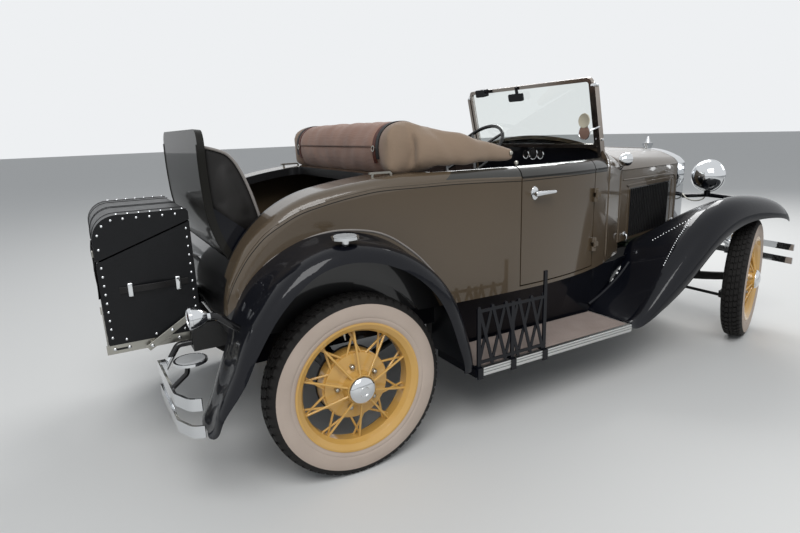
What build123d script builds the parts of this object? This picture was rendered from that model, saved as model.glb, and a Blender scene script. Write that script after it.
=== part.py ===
from build123d import *
from math import atan2, cos, hypot, radians, sin
import os

os.makedirs("parts", exist_ok=True)

# An open roadster of about 1930 with a rumble seat. Millimetres throughout.
# It is drawn with X forward from the rear axle, Y to the left and Z up from the ground.
# Every finished piece is then moved so that the middle of the car's length lies over the origin.

# Whole car
WHEELBASE = 2629.0
TRACK = 1422.0
FRONT_REACH = 3150.0
REAR_REACH = 818.0
FIT = 0.3
MOVING_GAP = 6.0

# Tyres and wire wheels, measured from the wheel's middle plane outwards
TYRE_R = 364.0
TYRE_WIDTH = 120.0
RIM_SEAT_R = 241.0
RIM_LIP_R = 260.0
RIM_HALF_WIDTH = 53.6
HUB_DISC_R = 131.0
HUB_CAP_R = 54.0
HUB_CAP_FACE = 84.0
SPOKE_R = 4.8
FRONT_SPOKES = 10
REAR_SPOKE_PAIRS = 10
DRUM_R = 138.0
BACKPLATE_R = 143.0
BACKPLATE_T = 5.0
SPINDLE_R = 16.7
STEER_AT_REST = 20.85
KINGPIN_TO_WHEEL = 80.0
KINGPIN_R = 12.0
STEERING_ARM = 150.0

# Frame, axles and engine
RAIL_Y = 330.0
RAIL_TOP = 590.0
RAIL_DEPTH = 92.0
RAIL_WIDTH = 55.0
RAIL_WALL = 6.0
RAIL_REAR = -520.0
RAIL_FRONT = 2870.0
# Each crossmember's station, bottom and top
CROSSMEMBERS = (
    (-485.0, 498.0, 556.0),
    (-20.0, 560.0, 590.0),
    (700.0, 530.0, 590.0),
    (1560.0, 530.0, 590.0),
    (WHEELBASE, 560.0, 590.0),
)
BRACKET_STATIONS = (600.0, 1340.0)
AXLE_TUBE_R = 38.0
TORQUE_TUBE_R = 32.0
ENGINE_SIZE = (560.0, 300.0, 560.0)
ENGINE_PLACE = (2150.0, 0.0, 750.0)
GEARBOX_REAR_X = 1600.0
GEARBOX_LOW = 386.5

# Body
BODY_WALL = 40.0
BODY_BOTTOM = RAIL_TOP + FIT
BODY_HALF_WIDTH = 690.0
BODY_WIDEST_X = 900.0
DASH_X = 1550.0
DASH_HALF_WIDTH = 566.0
TAIL_HALF_WIDTH = 560.0
TAIL_X = -425.0
DECK_START_X = 385.0
DECK_Z = 1147.0
SHOULDER_R = 55.0
DOOR_REAR_X = 856.0
DOOR_FRONT_X = 1400.0
DOOR_BOTTOM = 612.0
COWL_FRONT_X = 1815.0
COWL_HALF_WIDTH = 440.0
COWL_WALL = 20.0
HOOD_FRONT_X = 2575.0
HOOD_HALF_WIDTH = 265.0
HOOD_BOTTOM = 650.0
HOOD_SHEET = 5.0
RADIATOR_FRONT_X = 2645.0

# Rumble seat lid, which turns about a pin inside the body
LID_PIVOT = (-210.6, 864.5)
LID_OPEN_ANGLE = 83.0
LID_HALF_WIDTH = 422.0
LID_FRONT_X = 240.0
LID_BOTTOM = 868.0
LID_THICKNESS = 26.0
LID_CORNER_R = 60.0

# Trunk on the luggage rack
TRUNK_FRONT_X = -472.0
TRUNK_REAR_X = -806.0
TRUNK_BOTTOM = 566.0
TRUNK_TOP = 1051.0
TRUNK_HALF_WIDTH = 300.0
TRUNK_WALL = 10.0
TRUNK_HINGE = (-465.0, 1011.0)
TRUNK_HINGE_R = 5.0
TRUNK_SPLIT_REAR_Z = 886.0

# Fenders and running boards
FENDER_SHEET = 5.0
SHIELD_LOW = RAIL_TOP + 18
BOARD_TOP = 335.0
BOARD_THICKNESS = 34.0
BOARD_INNER_Y = 545.0
BOARD_OUTER_Y = 830.0
BOARD_REAR_X = 500.0
BOARD_FRONT_X = 1470.0
RACK_GATE_X = (520.0, 875.0)
RACK_GATE_Z = (352.0, 600.0)
RACK_GATE_TOP = 705.0
RACK_GATE_BARS = 5
RACK_GATE_PITCH = 71.0
RACK_GATE_LEAN = 70.0
RACK_GATE_POSTS = (520.0, 700.0, 884.0)

# Windscreen
SCREEN_BASE = (1550.0, 1196.0)
SCREEN_TOP = (1477.0, 1545.0)
SCREEN_HALF_WIDTH = 502.0
SCREEN_BAR = 20.0
SCREEN_GLASS = 6.0
WIPER_MOTOR_Y = 350.0
MIRROR_Y = 45.0

# Lamps
HEADLAMP_PLACE = (2701.0, 400.0, 970.0)
HEADLAMP_R = 102.0
HEADLAMP_FACE = 8.0
HEADLAMP_BOWL_X = -3.0
HEADLAMP_BOWL_R = 101.0
COWL_LAMP_PLACE = (1780.0, 492.0, 1124.0)
COWL_LAMP_R = 36.0
TAIL_LAMP_PLACE = (-572.0, 700.0, 740.0)
TAIL_LAMP_R = 37.0

# More of the body, hood and cockpit
DECK_RADIUS = 2126.0
DECK_TURN = 11.46
UPPER_TAIL_RADIUS = 484.0
UPPER_TAIL_TURN = 47.4
LOWER_TAIL_RADIUS = 438.0
LOWER_TAIL_TURN = 46.0
COCKPIT_REAR_X = 430.0
COCKPIT_LIP = 12.0
WHEEL_CLEARANCE = 14.0
LID_PIN_R = 12.0
LID_SWING_R = hypot(-361 - LID_PIVOT[0], LID_BOTTOM - LID_PIVOT[1]) + MOVING_GAP
FIREWALL_T = 10.0
FLOOR_T = 12.0
BULKHEAD_X = 432.0
BULKHEAD_TOP = 1090.0
PANEL_BOTTOM = 1010.0
PANEL_T = 12.0
HINGE_PLACE = (1403.0, 632.0)
HINGE_HEIGHTS = (725.0, 975.0)
HINGE_R = 8.0
HINGE_LENGTH = 22.0
TOP_REST_Y = 548.0
# Sections of the folded top's side arms: station, y, z, width, height and corner radius
TOP_ARM = (
    (380, 545, 1245, 150, 170, 60),
    (600, 600, 1232, 92, 150, 40),
    (865, 615, 1207, 46, 60, 20),
)
HANDLE_PLACE = (935.0, 688.0, 1025.0)
ARCH_STATIONS = {
    "dash": (DASH_X, DASH_HALF_WIDTH, 1120.0, 1264.0),
    "joint": (COWL_FRONT_X, COWL_HALF_WIDTH, 1062.0, 1190.0),
    "radiator": (HOOD_FRONT_X, HOOD_HALF_WIDTH, 1052.0, 1143.0),
}
ARCH_CORNER = 62.0
ARCH_CROWN_SHARE = 0.48
ARCH_CORNER_R = 110.0
HOOD_REAR_X = COWL_FRONT_X + MOVING_GAP
HOOD_HINGE_R = 4.5
HOOD_HINGE_DROP = 1.0
LOUVRES = 24
LOUVRE_START = 110.0
LOUVRE_PITCH = 23.0
LOUVRE_LOW = 670.0
LOUVRE_HIGH = 945.0
RADIATOR_BOTTOM = 600.0
RADIATOR_RIM = 18.0
CORE_FINS = 21

# Steering
WHEEL_HUB = (1360.0, 310.0, 1172.0)
COLUMN_RUN = (1.0, 0.0, -0.95)
COLUMN_FOOT = (1900.0, 310.0, 659.0)
COLUMN_R = 19.0
STEERING_WHEEL_R = 210.0
STEERING_RIM_R = 11.0

# Front fender sections: x, then y and z of the outer edge, the crown and the inner edge
FRONT_FENDER = (
    (1470.3, 832, 322, 770, 341, 548, 341),
    (1650, 838, 349, 765, 432, 530, 455),
    (1800, 843, 425, 755, 575, 490, 545),
    (1960, 848, 537, 745, 715, 400, 622),
    (2200, 850, 698, 735, 858, 346, 634),
    (2440, 850, 757, 725, 888, 292, 634),
    (2640, 845, 753, 715, 866, 290, 636),
    (2838, 826, 722, 702, 810, 410, 660),
    (2982, 768, 694, 694, 738, 590, 696),
)
REAR_FENDER_CENTRE = (-15.0, 413.0)
# Radial sections of a rear fender: angle, then y and radius of its outer edge, its crown and its inner edge
REAR_FENDER = (
    (-8.5, 850, 449, 730, 526, 500, 516),
    (6, 850, 424, 730, 508, 500, 520),
    (22, 850, 415, 730, 500, 510, 528),
    (39, 850, 424, 730, 504, 520, 533),
    (56, 850, 435, 730, 509, 530, 540),
    (70, 850, 446, 730, 515, 540, 549),
    (85, 850, 459, 730, 521, 540, 547),
    (99, 850, 469, 730, 525, 540, 538),
    (110, 850, 467, 730, 518, 540, 524),
    (121, 850, 453, 730, 504, 540, 512),
    (136, 850, 438, 730, 486, 540, 488),
    (148, 850, 432, 740, 477, 545, 464),
    (156, 850, 435, 750, 474, 590, 464),
    (164, 850, 443, 755, 479, 630, 478),
    (172, 850, 472, 755, 497, 640, 493),
    (180, 846, 515, 757, 524, 640, 516),
    (187, 800, 546, 725, 552, 640, 551),
)
FENDER_SKIRT_LOW = (-395.0, 540.0, 470.0)
FENDER_SKIRT_HIGH = (484.0, 544.0, 589.0)
POST_WIDTH = 22.0
POST_DEPTH = 30.0
HEADLAMP_BAR_END = 640.0
BUMPER_BAR_Z = (505.0, 418.0)
REAR_BAR_Z = (454.0, 355.0)
REAR_BAR_HEIGHT = 44.0
TRUNK_REAR_R = 85.0
STEP_PLATES = ((-36.0, 780.0, 962.0, 50.0), (-570.0, 600.0, 564.0, 57.0))

CAR_MIDDLE = (FRONT_REACH - REAR_REACH) / 2
SIDES = (("right", -1), ("left", 1))


def finish(name, part):
    """Move a finished piece into the car's own frame and write it."""
    piece = part.moved(Location((-CAR_MIDDLE, 0, 0)))
    piece.label = name
    export_step(piece, f"parts/{name}.step")


def largest(part, count):
    """The biggest solids of a part, without the offcuts of a trimming."""
    return Part() + sorted(part.solids(), key=lambda s: s.volume)[-count:]


def rod(start, end, radius):
    """A straight round bar between two points, inside a part's block."""
    run = Vector(*end) - Vector(*start)
    with BuildSketch(Plane(origin=start, z_dir=run)) as section:
        Circle(radius)
    extrude(section.sketch, amount=run.length)


def bent_rod(points, bend, radius):
    """A round bar along straight runs with rounded bends, inside a part's block."""
    with BuildLine() as route:
        FilletPolyline(*points, radius=bend)
    with BuildSketch(Plane(origin=route.line @ 0, z_dir=route.line % 0)) as section:
        Circle(radius)
    sweep(section.sketch, path=route.line)


def across(outline, x, width):
    """A flat outline in the Y, Z plane, made width thick about station x."""
    with BuildSketch(Plane(origin=(x - width / 2, 0, 0), x_dir=(0, 1, 0), z_dir=(1, 0, 0))) as section:
        with BuildLine():
            outline()
        make_face()
    extrude(section.sketch, amount=width)


def lengthwise(outline, half_width):
    """A flat outline in the X, Z plane, made as wide as the car's middle strip."""
    with BuildSketch(Plane(origin=(0, half_width, 0), x_dir=(1, 0, 0), z_dir=(0, -1, 0))) as section:
        with BuildLine():
            outline()
        make_face()
    extrude(section.sketch, amount=2 * half_width)


def block(low, high, mode=Mode.ADD):
    """A box between two opposite corners, inside a part's block."""
    size = [b - a for a, b in zip(low, high)]
    with Locations(tuple((a + b) / 2 for a, b in zip(low, high))):
        Box(*size, mode=mode)


def keep_side(side, near, low_x, high_x, low_z=0):
    """Keep only what stands on one side of the car between two stations, inside a part's block."""
    low_y, high_y = sorted((side * near, side * 900))
    block((low_x, low_y, low_z), (high_x, high_y, 2000), mode=Mode.INTERSECT)


# Wheels

def make_tyre():
    half = TYRE_WIDTH / 2
    with BuildPart() as tyre:
        with BuildSketch(Plane.XZ):
            with BuildLine():
                Line((RIM_SEAT_R + FIT, -RIM_HALF_WIDTH + 9), (RIM_SEAT_R + FIT, RIM_HALF_WIDTH - 9))
                Line((RIM_SEAT_R + FIT, RIM_HALF_WIDTH - 9), (RIM_LIP_R + 1, RIM_HALF_WIDTH - 7.5))
                Line((RIM_LIP_R + 1, RIM_HALF_WIDTH - 7.5), (RIM_LIP_R + 2, RIM_HALF_WIDTH - 2))
                ThreePointArc((RIM_LIP_R + 2, RIM_HALF_WIDTH - 2), (308, half), (348, half - 9))
                ThreePointArc((348, half - 9), (356, half - 14), (TYRE_R - 5, half - 22))
                ThreePointArc((TYRE_R - 5, half - 22), (TYRE_R, 0), (TYRE_R - 5, 22 - half))
                ThreePointArc((TYRE_R - 5, 22 - half), (356, 14 - half), (348, 9 - half))
                ThreePointArc((348, 9 - half), (308, -half), (RIM_LIP_R + 2, 2 - RIM_HALF_WIDTH))
                Line((RIM_LIP_R + 2, 2 - RIM_HALF_WIDTH), (RIM_LIP_R + 1, 7.5 - RIM_HALF_WIDTH))
                Line((RIM_LIP_R + 1, 7.5 - RIM_HALF_WIDTH), (RIM_SEAT_R + FIT, 9 - RIM_HALF_WIDTH))
            make_face()
        revolve(axis=Axis.Z)
    return tyre.part


def make_wheel():
    """Rim, crossed wire spokes, hub shell, hub cap and brake drum in one piece."""
    lip = RIM_HALF_WIDTH
    with BuildPart() as spoke_front:
        rod((HUB_CAP_R + 1, 0, HUB_CAP_FACE - 26), (RIM_SEAT_R - 14, 0, 16), SPOKE_R)
    lean = radians(22)
    with BuildPart() as spoke_rear:
        for side in (-1, 1):
            foot = (HUB_DISC_R - 8, 6 * side, 8)
            head = ((RIM_SEAT_R - 12) * cos(lean), side * (RIM_SEAT_R - 12) * sin(lean), -12)
            rod(foot, head, SPOKE_R)
    with BuildPart() as wheel:
        with BuildSketch(Plane.XZ):
            with BuildLine():
                Polyline((RIM_SEAT_R, lip - 8.6), (RIM_LIP_R, lip - 7), (RIM_LIP_R, lip),
                         (RIM_LIP_R - 8, lip),
                         (RIM_SEAT_R - 8, lip - 12), (RIM_SEAT_R - 20, 22), (RIM_SEAT_R - 20, -22),
                         (RIM_SEAT_R - 8, 12 - lip), (RIM_LIP_R - 8, -lip), (RIM_LIP_R, -lip),
                         (RIM_LIP_R, 7 - lip), (RIM_SEAT_R, 8.6 - lip), close=True)
            make_face()
        revolve(axis=Axis.Z)
        with BuildSketch(Plane.XZ):
            with BuildLine():
                Polyline((SPINDLE_R + FIT, 0), (DRUM_R - 8, 0), (DRUM_R - 8, -46), (DRUM_R, -46),
                         (DRUM_R, 5), (HUB_DISC_R, 5), (HUB_DISC_R, 14), (80, 22), (66, 30),
                         (HUB_CAP_R + 4, HUB_CAP_FACE - 30),
                         (HUB_CAP_R + 4, HUB_CAP_FACE - 16), (HUB_CAP_R, HUB_CAP_FACE - 14),
                         (HUB_CAP_R - 6, HUB_CAP_FACE - 3), (0.001, HUB_CAP_FACE), (0.001, 40),
                         (SPINDLE_R + FIT, 40), close=True)
            make_face()
        revolve(axis=Axis.Z)
        with PolarLocations(0, FRONT_SPOKES):
            add(spoke_front.part)
        with PolarLocations(0, REAR_SPOKE_PAIRS, start_angle=180 / REAR_SPOKE_PAIRS):
            add(spoke_rear.part)
    return wheel.part


def wheel_place(side, front):
    """Centre and outward direction of a wheel as it stands."""
    turn = radians(STEER_AT_REST) if front else 0
    outward = (-side * sin(turn), side * cos(turn), 0)
    if not front:
        return Plane(origin=(0, side * TRACK / 2, TYRE_R), x_dir=(0, 0, 1), z_dir=outward)
    kingpin_y = TRACK / 2 - KINGPIN_TO_WHEEL
    centre = (WHEELBASE + outward[0] * KINGPIN_TO_WHEEL,
              side * kingpin_y + outward[1] * KINGPIN_TO_WHEEL, TYRE_R)
    return Plane(origin=centre, x_dir=(0, 0, 1), z_dir=outward)


def write_wheels():
    tyre = make_tyre()
    wheel = make_wheel()
    for end, front in (("rear", False), ("front", True)):
        for side_name, side in SIDES:
            place = wheel_place(side, front).location
            finish(f"tyre_{end}_{side_name}", tyre.moved(place))
            finish(f"wheel_{end}_{side_name}", wheel.moved(place))


# Steering knuckles and tie rod. The knuckle is drawn straight ahead with the kingpin at the origin.

ARM_Z = -78.0
SOCKET_HEIGHT = 22.0
SOCKET_R = 19.0
BALL_PIN_R = 9.0


def make_knuckle():
    plate_y = 26.0
    with BuildPart() as knuckle:
        for low in (-48.0, 30.5):
            with BuildSketch(Plane.XY.offset(low)):
                Circle(20)
                with Locations((0, 15)):
                    Rectangle(36, 30)
            extrude(amount=17.5)
        with BuildSketch(Plane.XY.offset(-48)):
            Circle(KINGPIN_R)
        extrude(amount=96)
        with Locations((0, plate_y - 1, 0)):
            Box(36, 8, 96)
        with BuildSketch(Plane(origin=(0, plate_y, 0), x_dir=(1, 0, 0), z_dir=(0, 1, 0))):
            Circle(BACKPLATE_R)
        extrude(amount=BACKPLATE_T)
        with BuildSketch(Plane(origin=(0, plate_y, 0), x_dir=(1, 0, 0), z_dir=(0, 1, 0))):
            Circle(SPINDLE_R)
        extrude(amount=KINGPIN_TO_WHEEL + 30 - plate_y)
        with BuildSketch(Plane.XY.offset(ARM_Z)):
            with Locations((-STEERING_ARM / 2, 0)):
                Rectangle(STEERING_ARM, 26)
            with Locations((-STEERING_ARM, 0), (0, 0)):
                Circle(SOCKET_R)
        extrude(amount=16)
        with BuildSketch(Plane.XY.offset(ARM_Z)):
            Circle(18)
        extrude(amount=-ARM_Z - 40)
        with BuildSketch(Plane.XY.offset(ARM_Z - SOCKET_HEIGHT - 4)):
            with Locations((-STEERING_ARM, 0)):
                Circle(BALL_PIN_R)
        extrude(amount=SOCKET_HEIGHT + 6)
    return knuckle.part


def kingpin(side):
    return (WHEELBASE, side * (TRACK / 2 - KINGPIN_TO_WHEEL), TYRE_R)


def write_knuckles():
    straight = make_knuckle()
    for side_name, side in SIDES:
        part = straight if side > 0 else straight.mirror(Plane.XZ)
        turned = part.moved(Location(kingpin(side), (0, 0, 1), STEER_AT_REST))
        finish(f"knuckle_{side_name}", turned)


def write_tie_rod():
    turn = radians(STEER_AT_REST)
    ball_x = WHEELBASE - STEERING_ARM * cos(turn)
    shift_y = -STEERING_ARM * sin(turn)
    half = kingpin(1)[1]
    low = TYRE_R + ARM_Z - SOCKET_HEIGHT - FIT
    ends = [(ball_x, side * half + shift_y, 0) for _, side in SIDES]
    with BuildPart() as tie:
        for x, y, _ in ends:
            with BuildSketch(Plane.XY.offset(low)):
                with Locations((x, y)):
                    Circle(SOCKET_R)
                    Circle(BALL_PIN_R + FIT, mode=Mode.SUBTRACT)
            extrude(amount=SOCKET_HEIGHT)
        inset = BALL_PIN_R + 5
        height = low + SOCKET_HEIGHT / 2
        rod((ball_x, ends[0][1] + inset, height), (ball_x, ends[1][1] - inset, height), 9)
    finish("tie_rod", tie.part)


# Axles and frame

def spring_outline(half, low, arch, stack):
    """Arched leaf spring seen from the front: half span, end height, rise and stack depth."""
    def draw():
        ThreePointArc((-half, low), (0, low + arch), (half, low))
        Line((half, low), (half, low + 14))
        ThreePointArc((half, low + 14), (0, low + arch + stack), (-half, low + 14))
        Line((-half, low + 14), (-half, low))
    return draw


def write_front_axle():
    pin_y = kingpin(1)[1]

    def beam():
        ThreePointArc((-pin_y, TYRE_R - 22), (0, TYRE_R - 92), (pin_y, TYRE_R - 22))
        Line((pin_y, TYRE_R - 22), (pin_y, TYRE_R + 22))
        ThreePointArc((pin_y, TYRE_R + 22), (0, TYRE_R - 40), (-pin_y, TYRE_R + 22))
        Line((-pin_y, TYRE_R + 22), (-pin_y, TYRE_R - 22))

    with BuildPart() as axle:
        across(beam, WHEELBASE, 36)
        across(spring_outline(430, 392, 52, 62), WHEELBASE, 46)
        for side in (-1, 1):
            with BuildSketch(Plane.XY.offset(TYRE_R - 30)):
                with Locations((WHEELBASE, side * pin_y)):
                    Circle(20)
            extrude(amount=60)
            with Locations((WHEELBASE, side * 420, 372)):
                Box(46, 30, 70)
            rod((WHEELBASE - 10, side * 420, 345), (1740, side * 14, 352), 15)
            with BuildSketch(Plane.XY.offset(TYRE_R - 31)):
                with Locations((WHEELBASE, side * pin_y)):
                    Circle(KINGPIN_R + FIT)
            extrude(amount=62, mode=Mode.SUBTRACT)
        with Locations((1740, 0, 352)):
            Sphere(34)
    finish("front_axle", axle.part)


def write_rear_axle():
    plate_y = TRACK / 2 - KINGPIN_TO_WHEEL + 26
    with BuildPart() as axle:
        with Locations((0, 0, TYRE_R)):
            Sphere(138)
        rod((0, -plate_y, TYRE_R), (0, plate_y, TYRE_R), AXLE_TUBE_R)
        rod((100, 0, TYRE_R), (GEARBOX_REAR_X - 1.5, 0, 424), TORQUE_TUBE_R)
        for side in (-1, 1):
            plate = Plane(origin=(0, side * plate_y, TYRE_R), x_dir=(1, 0, 0), z_dir=(0, side, 0))
            with BuildSketch(plate):
                Circle(BACKPLATE_R)
            extrude(amount=BACKPLATE_T)
            rod((0, side * plate_y, TYRE_R), (0, side * (TRACK / 2 + 30), TYRE_R), SPINDLE_R)
            with Locations((-20, side * 510, TYRE_R + 36)):
                Box(52, 34, 60)
            rod((0, side * 560, TYRE_R - 20), (1100, side * 15, 400), 14)
        across(spring_outline(525, 400, 52, 64), -20, 50)
    finish("rear_axle", axle.part)


def write_frame():
    """Two channels, their crossmembers and the board brackets, each a piece that bears on the next."""
    with BuildPart() as frame:
        for side in (-1, 1):
            with BuildSketch(Plane(origin=(RAIL_REAR, side * RAIL_Y, RAIL_TOP - RAIL_DEPTH / 2),
                                   x_dir=(0, 1, 0), z_dir=(1, 0, 0))):
                Rectangle(RAIL_WIDTH, RAIL_DEPTH)
                with Locations((-side * RAIL_WALL, 0)):
                    Rectangle(RAIL_WIDTH, RAIL_DEPTH - 2 * RAIL_WALL, mode=Mode.SUBTRACT)
            extrude(amount=RAIL_FRONT - RAIL_REAR)
            for x in (RAIL_REAR, RAIL_FRONT - 8):
                with Locations((x + 4, side * RAIL_Y, RAIL_TOP - RAIL_DEPTH / 2)):
                    Box(8, RAIL_WIDTH, RAIL_DEPTH)
            for x in BRACKET_STATIONS:
                low = BOARD_TOP - BOARD_THICKNESS - FIT
                near, far = sorted((side * (RAIL_Y - 10), side * (BOARD_OUTER_Y - 30)))
                block((x - 20, near, low - 20), (x + 20, far, low))
                near, far = sorted((side * (RAIL_Y - 10), side * (RAIL_Y + 10)))
                block((x - 20, near, low + FIT), (x + 20, far, RAIL_TOP - RAIL_DEPTH - FIT))
        reach = RAIL_Y - RAIL_WIDTH / 2 - FIT
        for x, low, high in CROSSMEMBERS:
            block((x - 35, -reach, low), (x + 35, reach, high))
    finish("frame_rails", frame.part)


def write_engine():
    with BuildPart() as engine:
        with Locations(ENGINE_PLACE):
            Box(*ENGINE_SIZE)
        engine_rear = ENGINE_PLACE[0] - ENGINE_SIZE[0] / 2
        block((GEARBOX_REAR_X, -110, GEARBOX_LOW), (engine_rear + 1, 110, RAIL_TOP - 2))
        for x in (2000, 2380):
            block((x, -RAIL_Y - 20, RAIL_TOP + FIT), (x + 40, RAIL_Y + 20, RAIL_TOP + 16))
    finish("engine", engine.part)


# Body shell

def body_plan(inset):
    """Half plan of the body, closed on the centre line."""
    wide = BODY_HALF_WIDTH - inset
    rear = (TAIL_X + inset, TAIL_HALF_WIDTH - inset)
    front = (DASH_X, DASH_HALF_WIDTH - inset)
    TangentArc((BODY_WIDEST_X, wide), front, tangent=(1, 0))
    TangentArc((BODY_WIDEST_X, wide), rear, tangent=(-1, 0))
    Line(front, (front[0], -1))
    Line(rear, (rear[0], -1))
    Line((front[0], -1), (rear[0], -1))


def body_side(inset):
    """Side view of the body, along the belt and over the deck and tail."""
    top = DECK_Z - inset
    deck = JernArc((DECK_START_X, top), (-1, 0), DECK_RADIUS - inset, DECK_TURN)
    upper = JernArc(deck @ 1, deck % 1, UPPER_TAIL_RADIUS - inset, UPPER_TAIL_TURN)
    lower = JernArc(upper @ 1, upper % 1, LOWER_TAIL_RADIUS - inset, LOWER_TAIL_TURN)
    end = lower @ 1
    Line(end, (DASH_X, end.Y))
    Line((DASH_X, end.Y), (DASH_X, top))
    Line((DASH_X, top), (DECK_START_X, top))


def make_body_block(inset, shoulder=0):
    """Solid of the body's outer skin, drawn in by inset."""
    with BuildPart() as body:
        with BuildSketch(Plane.XY.offset(BODY_BOTTOM - (1 if inset > 0 else 0))):
            with BuildLine():
                body_plan(inset)
            make_face()
            mirror(about=Plane.XZ)
        extrude(amount=700)
        with BuildPart(mode=Mode.INTERSECT):
            lengthwise(lambda: body_side(inset), 800)
    if not shoulder:
        return body.part
    edges = [e for e in body.part.edges().filter_by(lambda e: abs(e.center().Y) > 400 and e.length > 60)
             if (e @ 0).Z > 600 or (e @ 1).Z > 600]
    round_edges = [e for e in edges if hypot((e @ 0).X - (e @ 1).X, (e @ 0).Y - (e @ 1).Y) > 1]
    return body.part.fillet(shoulder, round_edges)


def station(x):
    """Size of the arched cowl or hood at a station, in line between the two nearest given ones."""
    given = sorted(ARCH_STATIONS.values())
    first, last = (given[0], given[1]) if x <= given[1][0] else (given[1], given[2])
    share = (x - first[0]) / (last[0] - first[0])
    return [a + (b - a) * share for a, b in zip(first, last)]


def arch_section(x, inset, bottom):
    """Arched section of the cowl or hood across the car."""
    _, half, shoulder_z, top_z = station(x)
    wide = half - inset
    corner = half - ARCH_CORNER - 0.6 * inset
    corner_z = top_z - ARCH_CROWN_SHARE * (top_z - shoulder_z) - inset
    side_z = shoulder_z - 0.4 * inset
    with BuildSketch(Plane(origin=(x, 0, 0), x_dir=(0, 1, 0), z_dir=(1, 0, 0))) as section:
        with BuildLine():
            Line((-wide, bottom), (wide, bottom))
            Line((wide, bottom), (wide, side_z))
            RadiusArc((wide, side_z), (corner, corner_z), -ARCH_CORNER_R)
            ThreePointArc((corner, corner_z), (0, top_z - inset), (-corner, corner_z))
            RadiusArc((-corner, corner_z), (-wide, side_z), -ARCH_CORNER_R)
            Line((-wide, side_z), (-wide, bottom))
        make_face()
    return section.sketch


def make_arch(first_x, last_x, inset, bottom):
    """Solid between two of the arched sections."""
    with BuildPart() as arch:
        loft([arch_section(first_x, inset, bottom), arch_section(last_x, inset, bottom)])
    return arch.part


def cockpit_cut():
    """The open cockpit, as deep as the thickness of the body's roof."""
    with BuildPart() as cut:
        with BuildSketch(Plane.XY.offset(DECK_Z - BODY_WALL - 60)):
            with BuildLine():
                body_plan(BODY_WALL + COCKPIT_LIP)
            make_face()
            mirror(about=Plane.XZ)
            with Locations(((COCKPIT_REAR_X - 1000), 0)):
                Rectangle(2000, 2000, mode=Mode.SUBTRACT)
        extrude(amount=300)
    return cut.part


def lid_column(grow):
    """Upright column over the rumble opening, grown outwards by the gap round the lid."""
    front = LID_FRONT_X + grow
    half = LID_HALF_WIDTH + grow
    rear = TAIL_X - 200
    with BuildPart() as column:
        with BuildSketch(Plane.XY.offset(LID_BOTTOM - grow)) as plan:
            with Locations(((front + rear) / 2, 0)):
                Rectangle(front - rear, 2 * half)
            fillet(plan.vertices().group_by(Axis.X)[-1], LID_CORNER_R + grow)
        extrude(amount=600)
    return column.part


def leaf(x, side, z, length):
    """Plate that ties a door hinge's barrel to the door or the cowl."""
    near, far = sorted((side * (HINGE_PLACE[1] - 28), side * (HINGE_PLACE[1] + 5)))
    block((x, near, z - HINGE_LENGTH / 2), (x + length, far, z + HINGE_LENGTH / 2))


def write_body(skin, lining):
    with BuildPart() as shell:
        add(skin)
        add(lining, mode=Mode.SUBTRACT)
        add(cockpit_cut(), mode=Mode.SUBTRACT)
    wheel_side = TRACK / 2 - TYRE_WIDTH / 2 - WHEEL_CLEARANCE
    with BuildPart() as body:
        add(shell.part)
        block((DOOR_REAR_X, -900, DOOR_BOTTOM - MOVING_GAP), (DASH_X + 100, 900, 2000), mode=Mode.SUBTRACT)
        block((DOOR_FRONT_X + MOVING_GAP - FIT, -900, 0), (DASH_X + 100, 900, 2000), mode=Mode.SUBTRACT)
        add(lid_column(MOVING_GAP), mode=Mode.SUBTRACT)
        with Locations(Location((LID_PIVOT[0], 0, LID_PIVOT[1]), (90, 0, 0))):
            Cylinder(LID_SWING_R, 2 * (LID_HALF_WIDTH + MOVING_GAP), mode=Mode.SUBTRACT)
        for side in (-1, 1):
            with Locations(Location((0, side * (wheel_side + 100), TYRE_R), (90, 0, 0))):
                Cylinder(TYRE_R + 36, 200, mode=Mode.SUBTRACT)
            rod((LID_PIVOT[0], side * (LID_HALF_WIDTH - 26), LID_PIVOT[1]),
                (LID_PIVOT[0], side * (TAIL_HALF_WIDTH + 15), LID_PIVOT[1]), LID_PIN_R)
    finish("rear_body", body.part)
    with BuildPart() as cowl:
        add(shell.part)
        block((-1000, -900, 0), (DOOR_FRONT_X + MOVING_GAP, 900, 2000), mode=Mode.SUBTRACT)
        add(make_arch(DASH_X, COWL_FRONT_X, 0, BODY_BOTTOM))
        hollow = make_arch(DASH_X - 1, COWL_FRONT_X - FIREWALL_T, COWL_WALL, BODY_BOTTOM - 5)
        add(hollow, mode=Mode.SUBTRACT)
        with Locations(Plane(origin=COLUMN_FOOT, z_dir=COLUMN_RUN).location):
            Cylinder(COLUMN_R + FIT, 1200, mode=Mode.SUBTRACT)
        for side in (-1, 1):
            for z in HINGE_HEIGHTS:
                hinge_x, hinge_y = HINGE_PLACE
                with Locations((hinge_x, side * hinge_y, z)):
                    Cylinder(HINGE_R, HINGE_LENGTH)
                leaf(hinge_x, side, z, 22)
    finish("cowl", cowl.part)
    return shell.part, cowl.part


def write_doors(shell):
    hinge_x, hinge_y = HINGE_PLACE
    low = DOOR_REAR_X + MOVING_GAP
    high = DOOR_FRONT_X
    for side_name, side in SIDES:
        with BuildPart() as door:
            add(shell)
            keep_side(side, 0, low, high, DOOR_BOTTOM)
            for z in HINGE_HEIGHTS:
                for step in (-1, 1):
                    middle = z + step * (HINGE_LENGTH + FIT)
                    with Locations((hinge_x, side * hinge_y, middle)):
                        Cylinder(HINGE_R, HINGE_LENGTH)
                    leaf(hinge_x - 22, side, middle, 22)
            x, y, z = HANDLE_PLACE
            with Locations(Location((x, side * (y + 12), z), (90, 0, 0))):
                Cylinder(9, 44)
            with Locations((x + 38, side * (y + 32), z)):
                Box(100, 13, 16)
        finish(f"door_{side_name}", door.part)


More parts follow.
